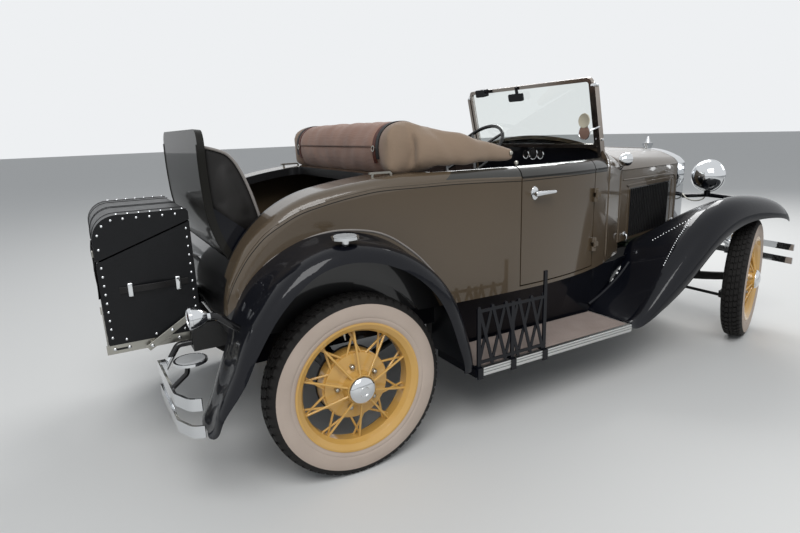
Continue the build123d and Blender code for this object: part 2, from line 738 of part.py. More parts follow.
def write_floor():
    with BuildPart() as floor:
        block((TAIL_X, -700, BODY_BOTTOM), (DASH_X, 700, BODY_BOTTOM + FLOOR_T))
        block((BULKHEAD_X, -700, BODY_BOTTOM), (BULKHEAD_X + FLOOR_T, 700, BULKHEAD_TOP))
        add(make_body_block(BODY_WALL + FIT), mode=Mode.INTERSECT)
    finish("floor_pan", floor.part)


def swing_open(part):
    return part.rotate(Axis((LID_PIVOT[0], 0, LID_PIVOT[1]), (0, 1, 0)), -LID_OPEN_ANGLE)


def write_rumble_lid(skin):
    pivot_x, pivot_z = LID_PIVOT

    def arm():
        Line((pivot_x - 10, pivot_z - 26), (pivot_x + 26, pivot_z - 10))
        Line((pivot_x + 26, pivot_z - 10), (40, 1200))
        Line((40, 1200), (-200, 1200))
        Line((-200, 1200), (pivot_x - 26, pivot_z))
        Line((pivot_x - 26, pivot_z), (pivot_x - 10, pivot_z - 26))

    with BuildPart() as pin:
        with Locations(Location((pivot_x, 0, pivot_z), (90, 0, 0))):
            Cylinder(LID_PIN_R + FIT, 2 * LID_HALF_WIDTH)
    with BuildPart() as arms:
        lengthwise(arm, LID_HALF_WIDTH - 6)
        block((-900, 20 - LID_HALF_WIDTH, 0), (900, LID_HALF_WIDTH - 20, 2000), mode=Mode.SUBTRACT)
        add(make_body_block(LID_THICKNESS), mode=Mode.INTERSECT)
        add(pin.part, mode=Mode.SUBTRACT)
    finish("rumble_arms", swing_open(arms.part))
    with BuildPart() as lid:
        add(skin)
        add(make_body_block(LID_THICKNESS), mode=Mode.SUBTRACT)
        add(lid_column(0), mode=Mode.INTERSECT)
        add(pin.part, mode=Mode.SUBTRACT)
    opened = swing_open(lid.part)
    finish("rumble_lid", opened)
    return opened


def write_rumble_seat(lid):
    def back():
        Line((-420, 1120), (-420, 1290))
        Line((-420, 1290), (-345, 1268))
        ThreePointArc((-345, 1268), (-305, 1240), (-271, 1180))
        ThreePointArc((-271, 1180), (-240, 1095), (-215, 1000))
        Line((-215, 1000), (-205, 950))
        Line((-205, 950), (-376, 935))
        Line((-376, 935), (-420, 1120))

    with BuildPart() as wedge:
        lengthwise(back, LID_HALF_WIDTH - 30)
        add(lid, mode=Mode.SUBTRACT)
    front = sorted(wedge.part.solids(), key=lambda s: s.center().X)[-1]
    finish("rumble_back", Part() + front)
    with BuildPart() as cushion:
        block((-130, -390, 700), (270, 390, 828))
        fillet(cushion.faces().sort_by(Axis.Z)[-1].edges(), 30)
        block((-120, -380, BODY_BOTTOM + FLOOR_T + FIT), (250, 380, 700))
    finish("rumble_cushion", cushion.part)


# Hood and radiator

def hinge_line(side):
    """Start and end of the fold between a hood half's top and side."""
    ends = []
    for x in (HOOD_REAR_X, HOOD_FRONT_X):
        _, half, shoulder_z, _ = station(x)
        ends.append(Vector(x, side * (half - HOOD_HINGE_R), shoulder_z))
    return ends


def write_hood():
    with BuildPart() as sheet:
        add(make_arch(COWL_FRONT_X, HOOD_FRONT_X, 0, HOOD_BOTTOM))
        add(make_arch(COWL_FRONT_X, HOOD_FRONT_X, HOOD_SHEET, HOOD_BOTTOM - 5), mode=Mode.SUBTRACT)
    rear_z = station(HOOD_REAR_X)[3] - HOOD_HINGE_DROP
    front_z = station(HOOD_FRONT_X - FIT)[3] - HOOD_HINGE_DROP
    with BuildPart() as pin:
        rod((COWL_FRONT_X + 2 * FIT, 0, rear_z), (HOOD_FRONT_X, 0, front_z), HOOD_HINGE_R)
    finish("hood_hinge", pin.part)
    for side_name, side in SIDES:
        start, end = hinge_line(side)
        fold = Plane(origin=start, x_dir=(0, 1, 0), z_dir=(start.Z - end.Z, 0, end.X - start.X))
        gap = HOOD_HINGE_R + FIT
        with BuildPart() as top:
            add(sheet.part)
            keep_side(side, gap, HOOD_REAR_X, HOOD_FRONT_X - MOVING_GAP)
            split(bisect_by=fold, keep=Keep.TOP)
            rod(start, start + (end - start) * 0.99, HOOD_HINGE_R)
        finish(f"hood_top_{side_name}", top.part)
        low = Plane(origin=start - Vector(0, 0, gap), x_dir=(0, 1, 0), z_dir=fold.z_dir)
        with BuildPart() as flank:
            add(sheet.part)
            keep_side(side, 10, HOOD_REAR_X, HOOD_FRONT_X - MOVING_GAP)
            split(bisect_by=low, keep=Keep.BOTTOM)
            run = (end - start).normalized()
            out = Vector(run.Y, -run.X, 0).normalized() * -side
            for number in range(LOUVRES):
                place = start + run * (LOUVRE_START + number * LOUVRE_PITCH) + out * (HOOD_HINGE_R - 1)
                foot = Plane(origin=(place.X, place.Y, LOUVRE_LOW), x_dir=run, z_dir=(0, 0, 1))
                with BuildSketch(foot) as louvre:
                    with BuildLine():
                        depth = 6 * side
                        Polyline((-7, 0), (-7, depth), (9, 0), (-7, 0))
                    make_face()
                extrude(louvre.sketch, amount=LOUVRE_HIGH - LOUVRE_LOW)
        finish(f"hood_side_{side_name}", flank.part)


def write_radiator():
    deep = RADIATOR_FRONT_X - HOOD_FRONT_X
    start = HOOD_FRONT_X + FIT
    _, half, _, top_z = station(HOOD_FRONT_X)
    with BuildPart() as shell:
        extrude(arch_section(HOOD_FRONT_X, 0, RADIATOR_BOTTOM).moved(Location((FIT, 0, 0))), amount=deep)
        opening = arch_section(HOOD_FRONT_X, RADIATOR_RIM, RADIATOR_BOTTOM + RADIATOR_RIM)
        extrude(opening.moved(Location((FIT - 1, 0, 0))), amount=deep + 2, mode=Mode.SUBTRACT)
        with BuildSketch(Plane.XY.offset(top_z - 6)) as neck:
            with Locations((start + deep * 0.55, 0)):
                Circle(26)
        extrude(neck.sketch, amount=26)
        with Locations((start + deep * 0.55, 0, top_z + 28)):
            Cylinder(34, 18)
        with Locations((start + deep * 0.55, 0, top_z + 58)):
            Cone(16, 5, 46)
    finish("radiator_shell", shell.part)
    with BuildPart() as core:
        extrude(arch_section(HOOD_FRONT_X, RADIATOR_RIM + FIT, RADIATOR_BOTTOM + RADIATOR_RIM + FIT)
                .moved(Location((6, 0, 0))), amount=deep - 18)
        for number in range(CORE_FINS):
            y = (number - (CORE_FINS - 1) / 2) * (2 * (half - RADIATOR_RIM - 12) / CORE_FINS)
            foot = RADIATOR_BOTTOM + RADIATOR_RIM + 4
            block((start + deep - 14, y - 2, foot), (start + deep - 6, y + 2, top_z - 75))
        add(shell.part, mode=Mode.SUBTRACT)
    finish("radiator_core", core.part)


# Fenders and running boards

def write_front_fenders():
    with BuildPart() as fender:
        faces = []
        for x, out_y, lip_z, crown_y, crown_z, in_y, in_z in FRONT_FENDER:
            t = FENDER_SHEET
            with BuildSketch(Plane(origin=(x, 0, 0), x_dir=(0, 1, 0), z_dir=(1, 0, 0))) as section:
                with BuildLine():
                    mid = (out_y - 0.22 * (out_y - crown_y), crown_z - 0.24 * (crown_z - lip_z))
                    slope = ((crown_y + in_y) / 2, (crown_z + in_z) / 2 + 0.12 * (crown_z - in_z) + 2)
                    ThreePointArc((out_y, lip_z), mid, (crown_y, crown_z))
                    ThreePointArc((crown_y, crown_z), slope, (in_y, in_z))
                    Line((in_y, in_z), (in_y, in_z - t))
                    ThreePointArc((in_y, in_z - t), (slope[0], slope[1] - t), (crown_y, crown_z - t))
                    under = (mid[0] - t, mid[1] - t * 0.7)
                    ThreePointArc((crown_y, crown_z - t), under, (out_y - t, lip_z))
                    Line((out_y - t, lip_z), (out_y, lip_z))
                make_face()
            faces.append(section.sketch)
        loft(faces)
        shield = [(x, in_y, in_z) for x, _, _, _, _, in_y, in_z in FRONT_FENDER if 1900 < x < 2700]
        for first, last in zip(shield, shield[1:]):
            ends = []
            for x, y, z in (first, last):
                with BuildSketch(Plane(origin=(x, 0, 0), x_dir=(0, 1, 0), z_dir=(1, 0, 0))) as section:
                    with BuildLine():
                        Polyline((y, SHIELD_LOW), (y + 4, SHIELD_LOW), (y + 4, z - 1), (y, z - 1),
                                 close=True)
                    make_face()
                ends.append(section.sketch)
            loft(ends, ruled=True)
        mirror(about=Plane.XZ)
    finish("front_fenders", fender.part)
    return fender.part


def rear_fender_section(angle, out_y, lip_r, crown_y, crown_r, in_y, in_r):
    """The fender's sheet on a plane that stands radially about the middle of its arch."""
    turn = radians(angle)
    centre_x, centre_z = REAR_FENDER_CENTRE
    t = FENDER_SHEET
    mid = (lip_r + 0.74 * (crown_r - lip_r) + 5, out_y - 0.26 * (out_y - crown_y))
    slope = ((crown_r + in_r) / 2 + 5, (crown_y + in_y) / 2)
    with BuildSketch(Plane(origin=(centre_x, 0, centre_z), x_dir=(cos(turn), 0, sin(turn)),
                           z_dir=(-sin(turn), 0, cos(turn)))) as section:
        with BuildLine():
            Spline((lip_r, out_y), mid, (crown_r, crown_y), slope, (in_r, in_y))
            Line((in_r, in_y), (in_r - t, in_y))
            Spline((in_r - t, in_y), (slope[0] - t, slope[1]), (crown_r - t, crown_y),
                   (mid[0] - 0.8 * t, mid[1] - 0.6 * t), (lip_r, out_y - t))
            Line((lip_r, out_y - t), (lip_r, out_y))
        make_face()
    return section.sketch


def write_rear_fenders(skin_clear):
    with BuildPart() as fender:
        loft([rear_fender_section(*row) for row in REAR_FENDER])
        add(skin_clear, mode=Mode.SUBTRACT)
        block(FENDER_SKIRT_LOW, FENDER_SKIRT_HIGH)
        mirror(about=Plane.XZ)
    part = largest(fender.part, 2)
    finish("rear_fenders", part)
    return part


def write_running_boards(fenders, front_fenders):
    low = BOARD_TOP - 1
    stations = [(x, BOARD_INNER_Y + 6, low, top_y) for x, top_y in
                ((BOARD_REAR_X, 640), (BODY_WIDEST_X, 655), (1250, 630), (BOARD_FRONT_X, 565))]
    stations += [(1650, 531, 445, 548), (1800, 491, 536, 504), (1850, 466, 562, 474)]
    with BuildPart() as board:
        block((BOARD_REAR_X, BOARD_INNER_Y, BOARD_TOP - BOARD_THICKNESS),
              (BOARD_FRONT_X, BOARD_OUTER_Y, BOARD_TOP))
        faces = []
        for x, foot_y, foot_z, top_y in stations:
            with BuildSketch(Plane(origin=(x, 0, 0), x_dir=(0, 1, 0), z_dir=(1, 0, 0))) as section:
                with BuildLine():
                    Polyline((foot_y - 6, foot_z), (foot_y, foot_z), (top_y + 6, RAIL_TOP),
                             (top_y, RAIL_TOP), close=True)
                make_face()
            faces.append(section.sketch)
        loft(faces, ruled=True)
        mirror(about=Plane.XZ)
        add(fenders, mode=Mode.SUBTRACT)
        add(front_fenders, mode=Mode.SUBTRACT)
    finish("running_boards", largest(board.part, 2))


def write_board_rack():
    """Folding lattice that stands on the right board's edge and keeps luggage on it."""
    low, high = RACK_GATE_Z
    with BuildPart() as rack:
        for number in range(RACK_GATE_BARS):
            x = RACK_GATE_X[0] + number * RACK_GATE_PITCH
            for lean, y in ((RACK_GATE_LEAN, -819.0), (-RACK_GATE_LEAN, -823.0)):
                near, far = (x, x + lean) if lean > 0 else (x - lean, x)
                run = Vector(far - near, 0, high - low)
                with BuildSketch(Plane(origin=(near, y, low), x_dir=run, z_dir=(0, -1, 0))) as bar:
                    with Locations((run.length / 2, 0)):
                        SlotOverall(run.length + 16, 15)
                extrude(bar.sketch, amount=4.05)
        for x in RACK_GATE_POSTS:
            block((x - 9, -827, BOARD_TOP + FIT), (x + 9, -819, RACK_GATE_TOP if x > 800 else high))
        for z in (low + 12, high - 12):
            block((RACK_GATE_X[0] - 6, -827, z - 7), (RACK_GATE_X[1] + 12, -823, z + 7))
        for x in RACK_GATE_POSTS:
            block((x - 14, -838, BOARD_TOP + FIT), (x + 14, -800, BOARD_TOP + 7))
            block((x - 14, -838, BOARD_TOP - BOARD_THICKNESS - 8),
                  (x + 14, -BOARD_OUTER_Y - FIT, BOARD_TOP + 7))
    finish("board_rack", largest(rack.part, 1))


# Windscreen and cockpit

def screen_plane():
    base_x, base_z = SCREEN_BASE
    top_x, top_z = SCREEN_TOP
    lean = Vector(top_x - base_x, 0, top_z - base_z).normalized()
    return Plane(origin=(base_x, 0, base_z), x_dir=(0, 1, 0), z_dir=Vector(0, 1, 0).cross(lean))


def write_windscreen(cowl):
    height = hypot(SCREEN_TOP[0] - SCREEN_BASE[0], SCREEN_TOP[1] - SCREEN_BASE[1])
    face = screen_plane()
    half = SCREEN_HALF_WIDTH
    with BuildPart() as frame:
        with BuildSketch(face) as ring:
            with Locations((0, height / 2)):
                RectangleRounded(2 * half, height, 30)
                RectangleRounded(2 * (half - SCREEN_BAR), height - 2 * SCREEN_BAR, 14, mode=Mode.SUBTRACT)
        extrude(ring.sketch, amount=SCREEN_BAR / 2, both=True)
        for side in (-1, 1):
            with BuildSketch(face) as post:
                with Locations((side * (half + 1 + POST_WIDTH / 2), (height - 20) / 2 - 45)):
                    Rectangle(POST_WIDTH, height + 20)
            extrude(post.sketch, amount=POST_DEPTH / 2, both=True)
            for share in (0.45, 0.9):
                with BuildSketch(face) as lug:
                    with Locations((side * (half + 1), height * share)):
                        Circle(11)
                extrude(lug.sketch, amount=7, both=True)
        add(cowl, mode=Mode.SUBTRACT)
    screen = largest(frame.part, 1)
    finish("windscreen_frame", screen)
    with BuildPart() as pane:
        with BuildSketch(face) as glass:
            with Locations((0, height / 2)):
                RectangleRounded(2 * (half - SCREEN_BAR - FIT), height - 2 * SCREEN_BAR - 2 * FIT, 13.7)
        extrude(glass.sketch, amount=SCREEN_GLASS / 2, both=True)
    finish("windscreen_glass", pane.part)
    return screen


def write_screen_fittings(screen):
    """Wiper motor and inner mirror behind the windscreen's top bar."""
    height = hypot(SCREEN_TOP[0] - SCREEN_BASE[0], SCREEN_TOP[1] - SCREEN_BASE[1])
    behind = screen_plane().offset(-SCREEN_BAR / 2 - FIT)
    with BuildPart() as fittings:
        with BuildSketch(behind) as motor:
            with Locations((WIPER_MOTOR_Y, height - 14)):
                RectangleRounded(88, 44, 10)
        extrude(motor.sketch, amount=-34)
        with BuildSketch(behind) as stalk:
            with Locations((MIRROR_Y, height - 26)):
                Rectangle(14, 48)
        extrude(stalk.sketch, amount=-12)
        with BuildSketch(behind.offset(-11)) as mirror_back:
            with Locations((MIRROR_Y, height - 60)):
                RectangleRounded(120, 44, 12)
        extrude(mirror_back.sketch, amount=-12)
        add(screen, mode=Mode.SUBTRACT)
    finish("screen_fittings", fittings.part)


def write_cockpit(screen):
    with BuildPart() as panel:
        extrude(arch_section(DASH_X + 30, COWL_WALL + FIT, PANEL_BOTTOM), amount=-PANEL_T)
        add(screen, mode=Mode.SUBTRACT)
    finish("instrument_panel", largest(panel.part, 1))

    def bench():
        Line((470, 640), (470, 700))
        Line((470, 700), (452, 1090))
        ThreePointArc((452, 1090), (490, 1150), (545, 1110))
        Line((545, 1110), (600, 862))
        Line((600, 862), (985, 880))
        ThreePointArc((985, 880), (1025, 850), (1010, 790))
        Line((1010, 790), (990, 640))
        Line((990, 640), (470, 640))

    with BuildPart() as seat:
        lengthwise(bench, 560)
        block((500, -520, BODY_BOTTOM + FLOOR_T + FIT), (980, 520, 641))
    finish("front_seat", seat.part)


def write_steering():
    hub = Vector(*WHEEL_HUB)
    run = Vector(*COLUMN_RUN).normalized()
    face = Plane(origin=hub, x_dir=(0, 1, 0), z_dir=run)
    with BuildPart() as wheel:
        edge = Plane(origin=hub + face.x_dir * STEERING_WHEEL_R, x_dir=face.x_dir, z_dir=face.y_dir)
        with BuildSketch(edge) as rim:
            Circle(STEERING_RIM_R)
        revolve(rim.sketch, axis=Axis(hub, run))
        with BuildSketch(face) as spokes:
            Circle(34)
            for turn in (45, 135):
                with Locations(Location((0, 0), turn)):
                    Rectangle(2 * STEERING_WHEEL_R - 8, 16)
        extrude(spokes.sketch, amount=5, both=True)
        with BuildSketch(face) as boss:
            Circle(26)
        extrude(boss.sketch, amount=30)
    finish("steering_wheel", wheel.part)
    with BuildPart() as column:
        top = hub + run * (30 + FIT)
        foot = Vector(*COLUMN_FOOT)
        rod(top, foot, COLUMN_R)
        block((foot.X - 60, foot.Y - 40, RAIL_TOP + FIT), (foot.X + 60, foot.Y + 30, foot.Z + 50))
    finish("steering_column", column.part)


def write_top_boot():
    low = DECK_Z + FIT

    def roll():
        Line((268, low + 20), (262, 1290))
        ThreePointArc((262, 1290), (290, 1335), (350, 1345))
        ThreePointArc((350, 1345), (440, 1325), (490, 1270))
        ThreePointArc((490, 1270), (505, 1210), (480, low))
        Line((480, low), (290, low))
        Line((290, low), (268, low + 20))

    with BuildPart() as boot:
        lengthwise(roll, 560)
        for side in (-1, 1):
            faces = []
            for x, y, z, wide, high, corner in TOP_ARM:
                across_arm = Plane(origin=(x, side * y, z), x_dir=(0, 1, 0), z_dir=(1, 0, 0))
                with BuildSketch(across_arm) as section:
                    RectangleRounded(wide, high, corner)
                faces.append(section.sketch)
            loft(faces, ruled=True)
        block((-1000, -1000, 0), (2000, 1000, low), mode=Mode.SUBTRACT)
    finish("top_boot", boot.part)
    return boot.part


def write_top_rests(boot, outer):
    """Plated rests beside the folded top, on studs in the deck."""
    with BuildPart() as rests:
        for y in (-TOP_REST_Y, TOP_REST_Y):
            block((185, y - 7, 1150), (300, y + 7, 1158))
            for x in (200, 285):
                rod((x, y, 1070), (x, y, 1151), 6)
        add(boot, mode=Mode.SUBTRACT)
        add(outer, mode=Mode.SUBTRACT)
    finish("top_rests", largest(rests.part, 2))


# Lamps, bumpers and luggage

def bowl(profile, place):
    """Turned body about a lengthwise axis through a place."""
    with BuildSketch(Plane(origin=place, x_dir=(1, 0, 0), z_dir=(0, -1, 0))) as section:
        with BuildLine():
            profile()
        make_face()
    revolve(section.sketch, axis=Axis(place, (1, 0, 0)))


def cap(edge, radius, tip):
    """Round end of a turned body, from its edge to its tip on the axis."""
    rise = tip - edge
    ball = (radius ** 2 + rise ** 2) / (2 * rise)
    half_turn = atan2(radius, ball - rise) / 2
    middle = (tip - ball + ball * cos(half_turn), abs(ball) * sin(abs(half_turn)))
    ThreePointArc((edge, radius), middle, (tip, 0))


def write_headlamps(fenders):
    x, y, z = HEADLAMP_PLACE
    r = HEADLAMP_R
    face = HEADLAMP_FACE

    def shell():
        Line((HEADLAMP_BOWL_X - HEADLAMP_BOWL_R, 0), (face, 0))
        Line((face, 0), (face, r - 8))
        Line((face, r - 8), (face + 6, r - 8))
        Line((face + 6, r - 8), (face + 6, r))
        Line((face + 6, r), (face - 8, r + 2))
        Line((face - 8, r + 2), (HEADLAMP_BOWL_X, HEADLAMP_BOWL_R))
        CenterArc((HEADLAMP_BOWL_X, 0), HEADLAMP_BOWL_R, 90, 90)

    def lens():
        Line((face + FIT, 0), (face + FIT, r - 8 - FIT))
        Line((face + FIT, r - 8 - FIT), (face + 4, r - 8 - FIT))
        cap(face + 4, r - 8 - FIT, face + 24)
        Line((face + 24, 0), (face + FIT, 0))

    bar_z = z - r - 22
    with BuildPart() as bar:
        bent_rod([(x - 10, -HEADLAMP_BAR_END, bar_z - 4), (x, -y, bar_z), (x + 4, -150, bar_z - 30),
                  (x + 4, 150, bar_z - 30), (x, y, bar_z), (x - 10, HEADLAMP_BAR_END, bar_z - 4)],
                 90, 13)
        for side in (-1, 1):
            with Locations((x, side * y, bar_z + 8)):
                Cylinder(19, 34)
        add(fenders, mode=Mode.SUBTRACT)
    bar = largest(bar.part, 1)
    finish("headlamp_bar", bar)
    with BuildPart() as shells:
        for side in (-1, 1):
            bowl(shell, (x, side * y, z))
        add(bar, mode=Mode.SUBTRACT)
    finish("headlamp_shells", shells.part)
    with BuildPart() as lenses:
        for side in (-1, 1):
            bowl(lens, (x, side * y, z))
    finish("headlamp_lenses", lenses.part)


def write_cowl_lamps(cowl):
    x, y, z = COWL_LAMP_PLACE
    r = COWL_LAMP_R

    def shell():
        Line((-52, 0), (26, 0))
        ThreePointArc((26, 0), (21, 0.7 * r), (10, r))
        ThreePointArc((10, r), (-26, 0.74 * r), (-52, 0))

    with BuildPart() as lamps:
        for side in (-1, 1):
            bowl(shell, (x, side * y, z))
            rod((x - 5, side * y, z - 20), (x - 5, side * (y - 70), z - 84), 8)
        add(cowl, mode=Mode.SUBTRACT)
        block((x - 200, -(y - 58), 0), (x + 200, y - 58, 1500), mode=Mode.SUBTRACT)
    finish("cowl_lamps", lamps.part)


def write_tail_lamps(fenders):
    x, y, z = TAIL_LAMP_PLACE
    r = TAIL_LAMP_R

    def cone():
        Line((0, 0), (60, 0))
        Line((60, 0), (56, 16))
        ThreePointArc((56, 16), (32, 0.8 * r), (4, r))
        Line((4, r), (0, r))
        Line((0, r), (0, 0))

    with BuildPart() as lamps:
        for side in (-1, 1):
            bowl(cone, (x, side * y, z))
            arm = [(x + 50, side * y, z), (x + 90, side * y, z - 8), (x + 160, side * y, z - 70)]
            bent_rod(arm, 40, 12)
        add(fenders, mode=Mode.SUBTRACT)
    finish("tail_lamps", largest(lamps.part, 2))


def bumper_bar(x_middle, bow, half, z, height, depth):
    with BuildSketch(Plane.XY.offset(z - height / 2)) as plan:
        with BuildLine():
            ThreePointArc((x_middle - bow, -half), (x_middle, 0), (x_middle - bow, half))
            Line((x_middle - bow, half), (x_middle - bow - depth, half))
            ThreePointArc((x_middle - bow - depth, half), (x_middle - depth, 0),
                          (x_middle - bow - depth, -half))
            Line((x_middle - bow - depth, -half), (x_middle - bow, -half))
        make_face()
    extrude(plan.sketch, amount=height)


def write_front_bumper():
    with BuildPart() as bumper:
        for z in BUMPER_BAR_Z:
            bumper_bar(FRONT_REACH, 55, 770, z, 42, 9)
        low, high = BUMPER_BAR_Z[1] - 26, BUMPER_BAR_Z[0] + 26
        for y in (-RAIL_Y, 0, RAIL_Y):
            block((FRONT_REACH - 34, y - 16, low), (FRONT_REACH - 8, y + 16, high))
        for side in (-1, 1):
            bent_rod([(RAIL_FRONT + FIT, side * RAIL_Y, 540), (RAIL_FRONT + 80, side * RAIL_Y, 540),
                      (FRONT_REACH - 20, side * RAIL_Y, (low + high) / 2)], 60, 15)
    finish("front_bumper", bumper.part)


def write_rear_bumpers():
    with BuildPart() as bumpers:
        for side in (-1, 1):
            for z in REAR_BAR_Z:
                with BuildLine() as route:
                    FilletPolyline((-650, side * 310, z), (-640, side * 655, z), (-606, side * 730, z),
                                   (-570, side * 745, z), radius=40)
                with BuildSketch(Plane(origin=route.line @ 0, z_dir=route.line % 0)) as section:
                    Rectangle(9, REAR_BAR_HEIGHT)
                sweep(section.sketch, path=route.line)
            low, high = REAR_BAR_Z[1] - 26, REAR_BAR_Z[0] + 26
            block((-648, min(side * 322, side * 352), low), (-626, max(side * 322, side * 352), high))
            arm = [(RAIL_REAR - FIT, side * RAIL_Y, 530), (-575, side * RAIL_Y, 530),
                   (-636, side * 337, 440)]
            bent_rod(arm, 25, 12)
    finish("rear_bumpers", bumpers.part)
    return bumpers.part


def write_rack():
    top = TRUNK_BOTTOM - FIT
    with BuildPart() as rack:
        for side in (-1, 1):
            y = side * (TRUNK_HALF_WIDTH - 8)
            block((-REAR_REACH, y - 4, 530), (RAIL_REAR - FIT, y + 4, top))
            outer = side * (TRUNK_HALF_WIDTH + 10)
            rod((-661, y, 548), (-661, side * (TRUNK_HALF_WIDTH + 14), 548), 6)
            rod((-661, outer, 548), (-528, outer, 622), 5)
        for number in range(6):
            x = -REAR_REACH + 4 + number * 54
            block((x, 8 - TRUNK_HALF_WIDTH, top - 8), (x + 24, TRUNK_HALF_WIDTH - 8, top))
    finish("luggage_rack", rack.part)


def trunk_outline(inset):
    front, rear = TRUNK_FRONT_X - inset, TRUNK_REAR_X + inset
    low, top = TRUNK_BOTTOM + inset, TRUNK_TOP - inset

    def draw():
        Line((front, low), (front, top - 12))
        ThreePointArc((front, top - 12), (front - 3.5, top - 3.5), (front - 12, top))
        Line((front - 12, top), (rear + TRUNK_REAR_R, top))
        ThreePointArc((rear + TRUNK_REAR_R, top), (rear + 0.293 * TRUNK_REAR_R, top - 0.293 * TRUNK_REAR_R),
                      (rear, top - TRUNK_REAR_R))
        Line((rear, top - TRUNK_REAR_R), (rear, low))
        Line((rear, low), (front, low))
    return draw


def write_trunk():
    hinge_x, hinge_z = TRUNK_HINGE
    up = Vector(TRUNK_SPLIT_REAR_Z - hinge_z, 0, hinge_x - TRUNK_REAR_X).normalized()
    with BuildPart() as shell:
        lengthwise(trunk_outline(0), TRUNK_HALF_WIDTH)
        with BuildPart(mode=Mode.SUBTRACT):
            lengthwise(trunk_outline(TRUNK_WALL), TRUNK_HALF_WIDTH - TRUNK_WALL)
    halves = (("trunk", -1, Keep.BOTTOM, (-22.3, 22.3)), ("trunk_lid", 1, Keep.TOP, (0,)))
    for name, way, keep, knuckles in halves:
        middle = Vector(hinge_x, 0, hinge_z) + up * way * MOVING_GAP / 2
        cut = Plane(origin=middle, x_dir=(0, 1, 0), z_dir=up)
        with BuildPart() as piece:
            add(shell.part)
            split(bisect_by=cut, keep=keep)
            for middle in (-190, 190):
                for step in knuckles:
                    y = middle + step
                    with Locations(Location((hinge_x, y, hinge_z), (90, 0, 0))):
                        Cylinder(TRUNK_HINGE_R, 22)
                    low, high = sorted((hinge_z, hinge_z + way * 18))
                    block((TRUNK_FRONT_X - 1, y - 11, low), (hinge_x, y + 11, high))
        finish(name, piece.part)


def write_step_plates(fenders, bumpers):
    with BuildPart() as plates:
        for side in (-1, 1):
            for x, y, z, r in STEP_PLATES:
                with BuildSketch(Plane.XY.offset(z - 10)) as disc:
                    with Locations((x, side * y)):
                        Circle(r)
                extrude(disc.sketch, amount=10)
            x, y, z, _ = STEP_PLATES[0]
            rod((x, side * y, z - 9), (x, side * y, z - 60), 14)
            x, y, z, _ = STEP_PLATES[1]
            bent_rod([(x - 10, side * y, z - 6), (x - 16, side * y, z - 50), (-642, side * y, 470)], 25, 9)
        add(fenders, mode=Mode.SUBTRACT)
        add(bumpers, mode=Mode.SUBTRACT)
    finish("step_plates", largest(plates.part, 4))


def main():
    skin = make_body_block(0, SHOULDER_R)
    lining = make_body_block(BODY_WALL)
    shell, cowl = write_body(skin, lining)
    write_doors(shell)
    write_floor()
    lid = write_rumble_lid(skin)
    write_rumble_seat(lid)
    write_hood()
    write_radiator()
    write_wheels()
    write_knuckles()
    write_tie_rod()
    write_front_axle()
    write_rear_axle()
    write_frame()
    write_engine()
    front_fenders = write_front_fenders()
    fenders = write_rear_fenders(make_body_block(-FIT))
    write_running_boards(fenders, front_fenders)
    write_board_rack()
    screen = write_windscreen(cowl)
    write_screen_fittings(screen)
    write_cockpit(screen)
    write_steering()
    write_top_rests(write_top_boot(), make_body_block(-FIT))
    write_headlamps(front_fenders)
    write_cowl_lamps(cowl)
    write_tail_lamps(fenders)
    write_front_bumper()
    bumpers = write_rear_bumpers()
    write_rack()
    write_trunk()
    write_step_plates(fenders, bumpers)


main()
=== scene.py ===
import math

import bmesh
import bpy
from mathutils import Matrix, Vector
from mathutils.bvhtree import BVHTree


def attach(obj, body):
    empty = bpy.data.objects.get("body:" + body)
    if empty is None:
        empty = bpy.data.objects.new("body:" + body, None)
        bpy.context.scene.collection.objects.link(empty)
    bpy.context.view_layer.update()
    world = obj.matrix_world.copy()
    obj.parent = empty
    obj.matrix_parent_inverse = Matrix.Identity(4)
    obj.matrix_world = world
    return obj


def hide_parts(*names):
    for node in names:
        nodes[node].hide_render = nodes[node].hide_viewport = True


# Looks of an open roadster of about 1930 with a rumble seat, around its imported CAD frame.
# Places are given in millimetres from the rear axle, as in the drawings, with X forward and Y left. at()
# turns them into the frame's metres, whose origin lies under the middle of the car.

MIDDLE_X = 1166
RIGHT, LEFT = -1, 1
SIDE_NAMES = ((RIGHT, "right"), (LEFT, "left"))
REARWARD = Vector((-1, 0, 0))

# The photograph's viewpoint: its place, the three directions of its frame, and its lens
CAMERA_PLACE = (-819.84, -2550.17, 1314.63)
CAMERA_RIGHT = (0.86594, -0.49907, -0.03272)
CAMERA_UP = (0.14570, 0.18914, 0.97109)
CAMERA_BACK = (-0.47845, -0.84567, 0.23650)
SENSOR_MM, LENS_MM = 36, 25.06

# Wheels and tyres
TYRE_R, RIM_SEAT_R, RIM_LIP_R = 364, 241, 260
WHEELBASE, HALF_TRACK, KINGPIN_TO_WHEEL = 2629, 711, 80
STEER_AT_REST = math.radians(20.85)
WHEEL_NUTS, NUT_CIRCLE_R, VALVE_ANGLE = 5, 86, 4.1
TREAD_LUGS = 60

# Where the colours of the body meet. The belt band's foot and rear end each pass a point: the foot falls
# forward by BAND_SLOPE, and the end leans forward by BAND_LEAN. A half is a width off the middle.
BAND_FOOT, BAND_SLOPE = (860, 1098.5), 0.031
BAND_REAR, BAND_LEAN = (520, 1147), 1.6
BAND_FRONT_X = 1545
ARCH_MIDDLE, ARCH_R = (-15, 413), 478
TAIL_X, TAIL_Z, TAIL_HALF = -330, 800, 490
WELL_X, WELL_HALF = 262, 446
COCKPIT_X, COCKPIT_Z, COCKPIT_HALF = (440, 1560), 1138, 668
COCKPIT_MIDDLE_X, COCKPIT_BOW = 900, 0.28
LOUVRE_X, LOUVRE_Z = (1926, 2480), (664, 951)

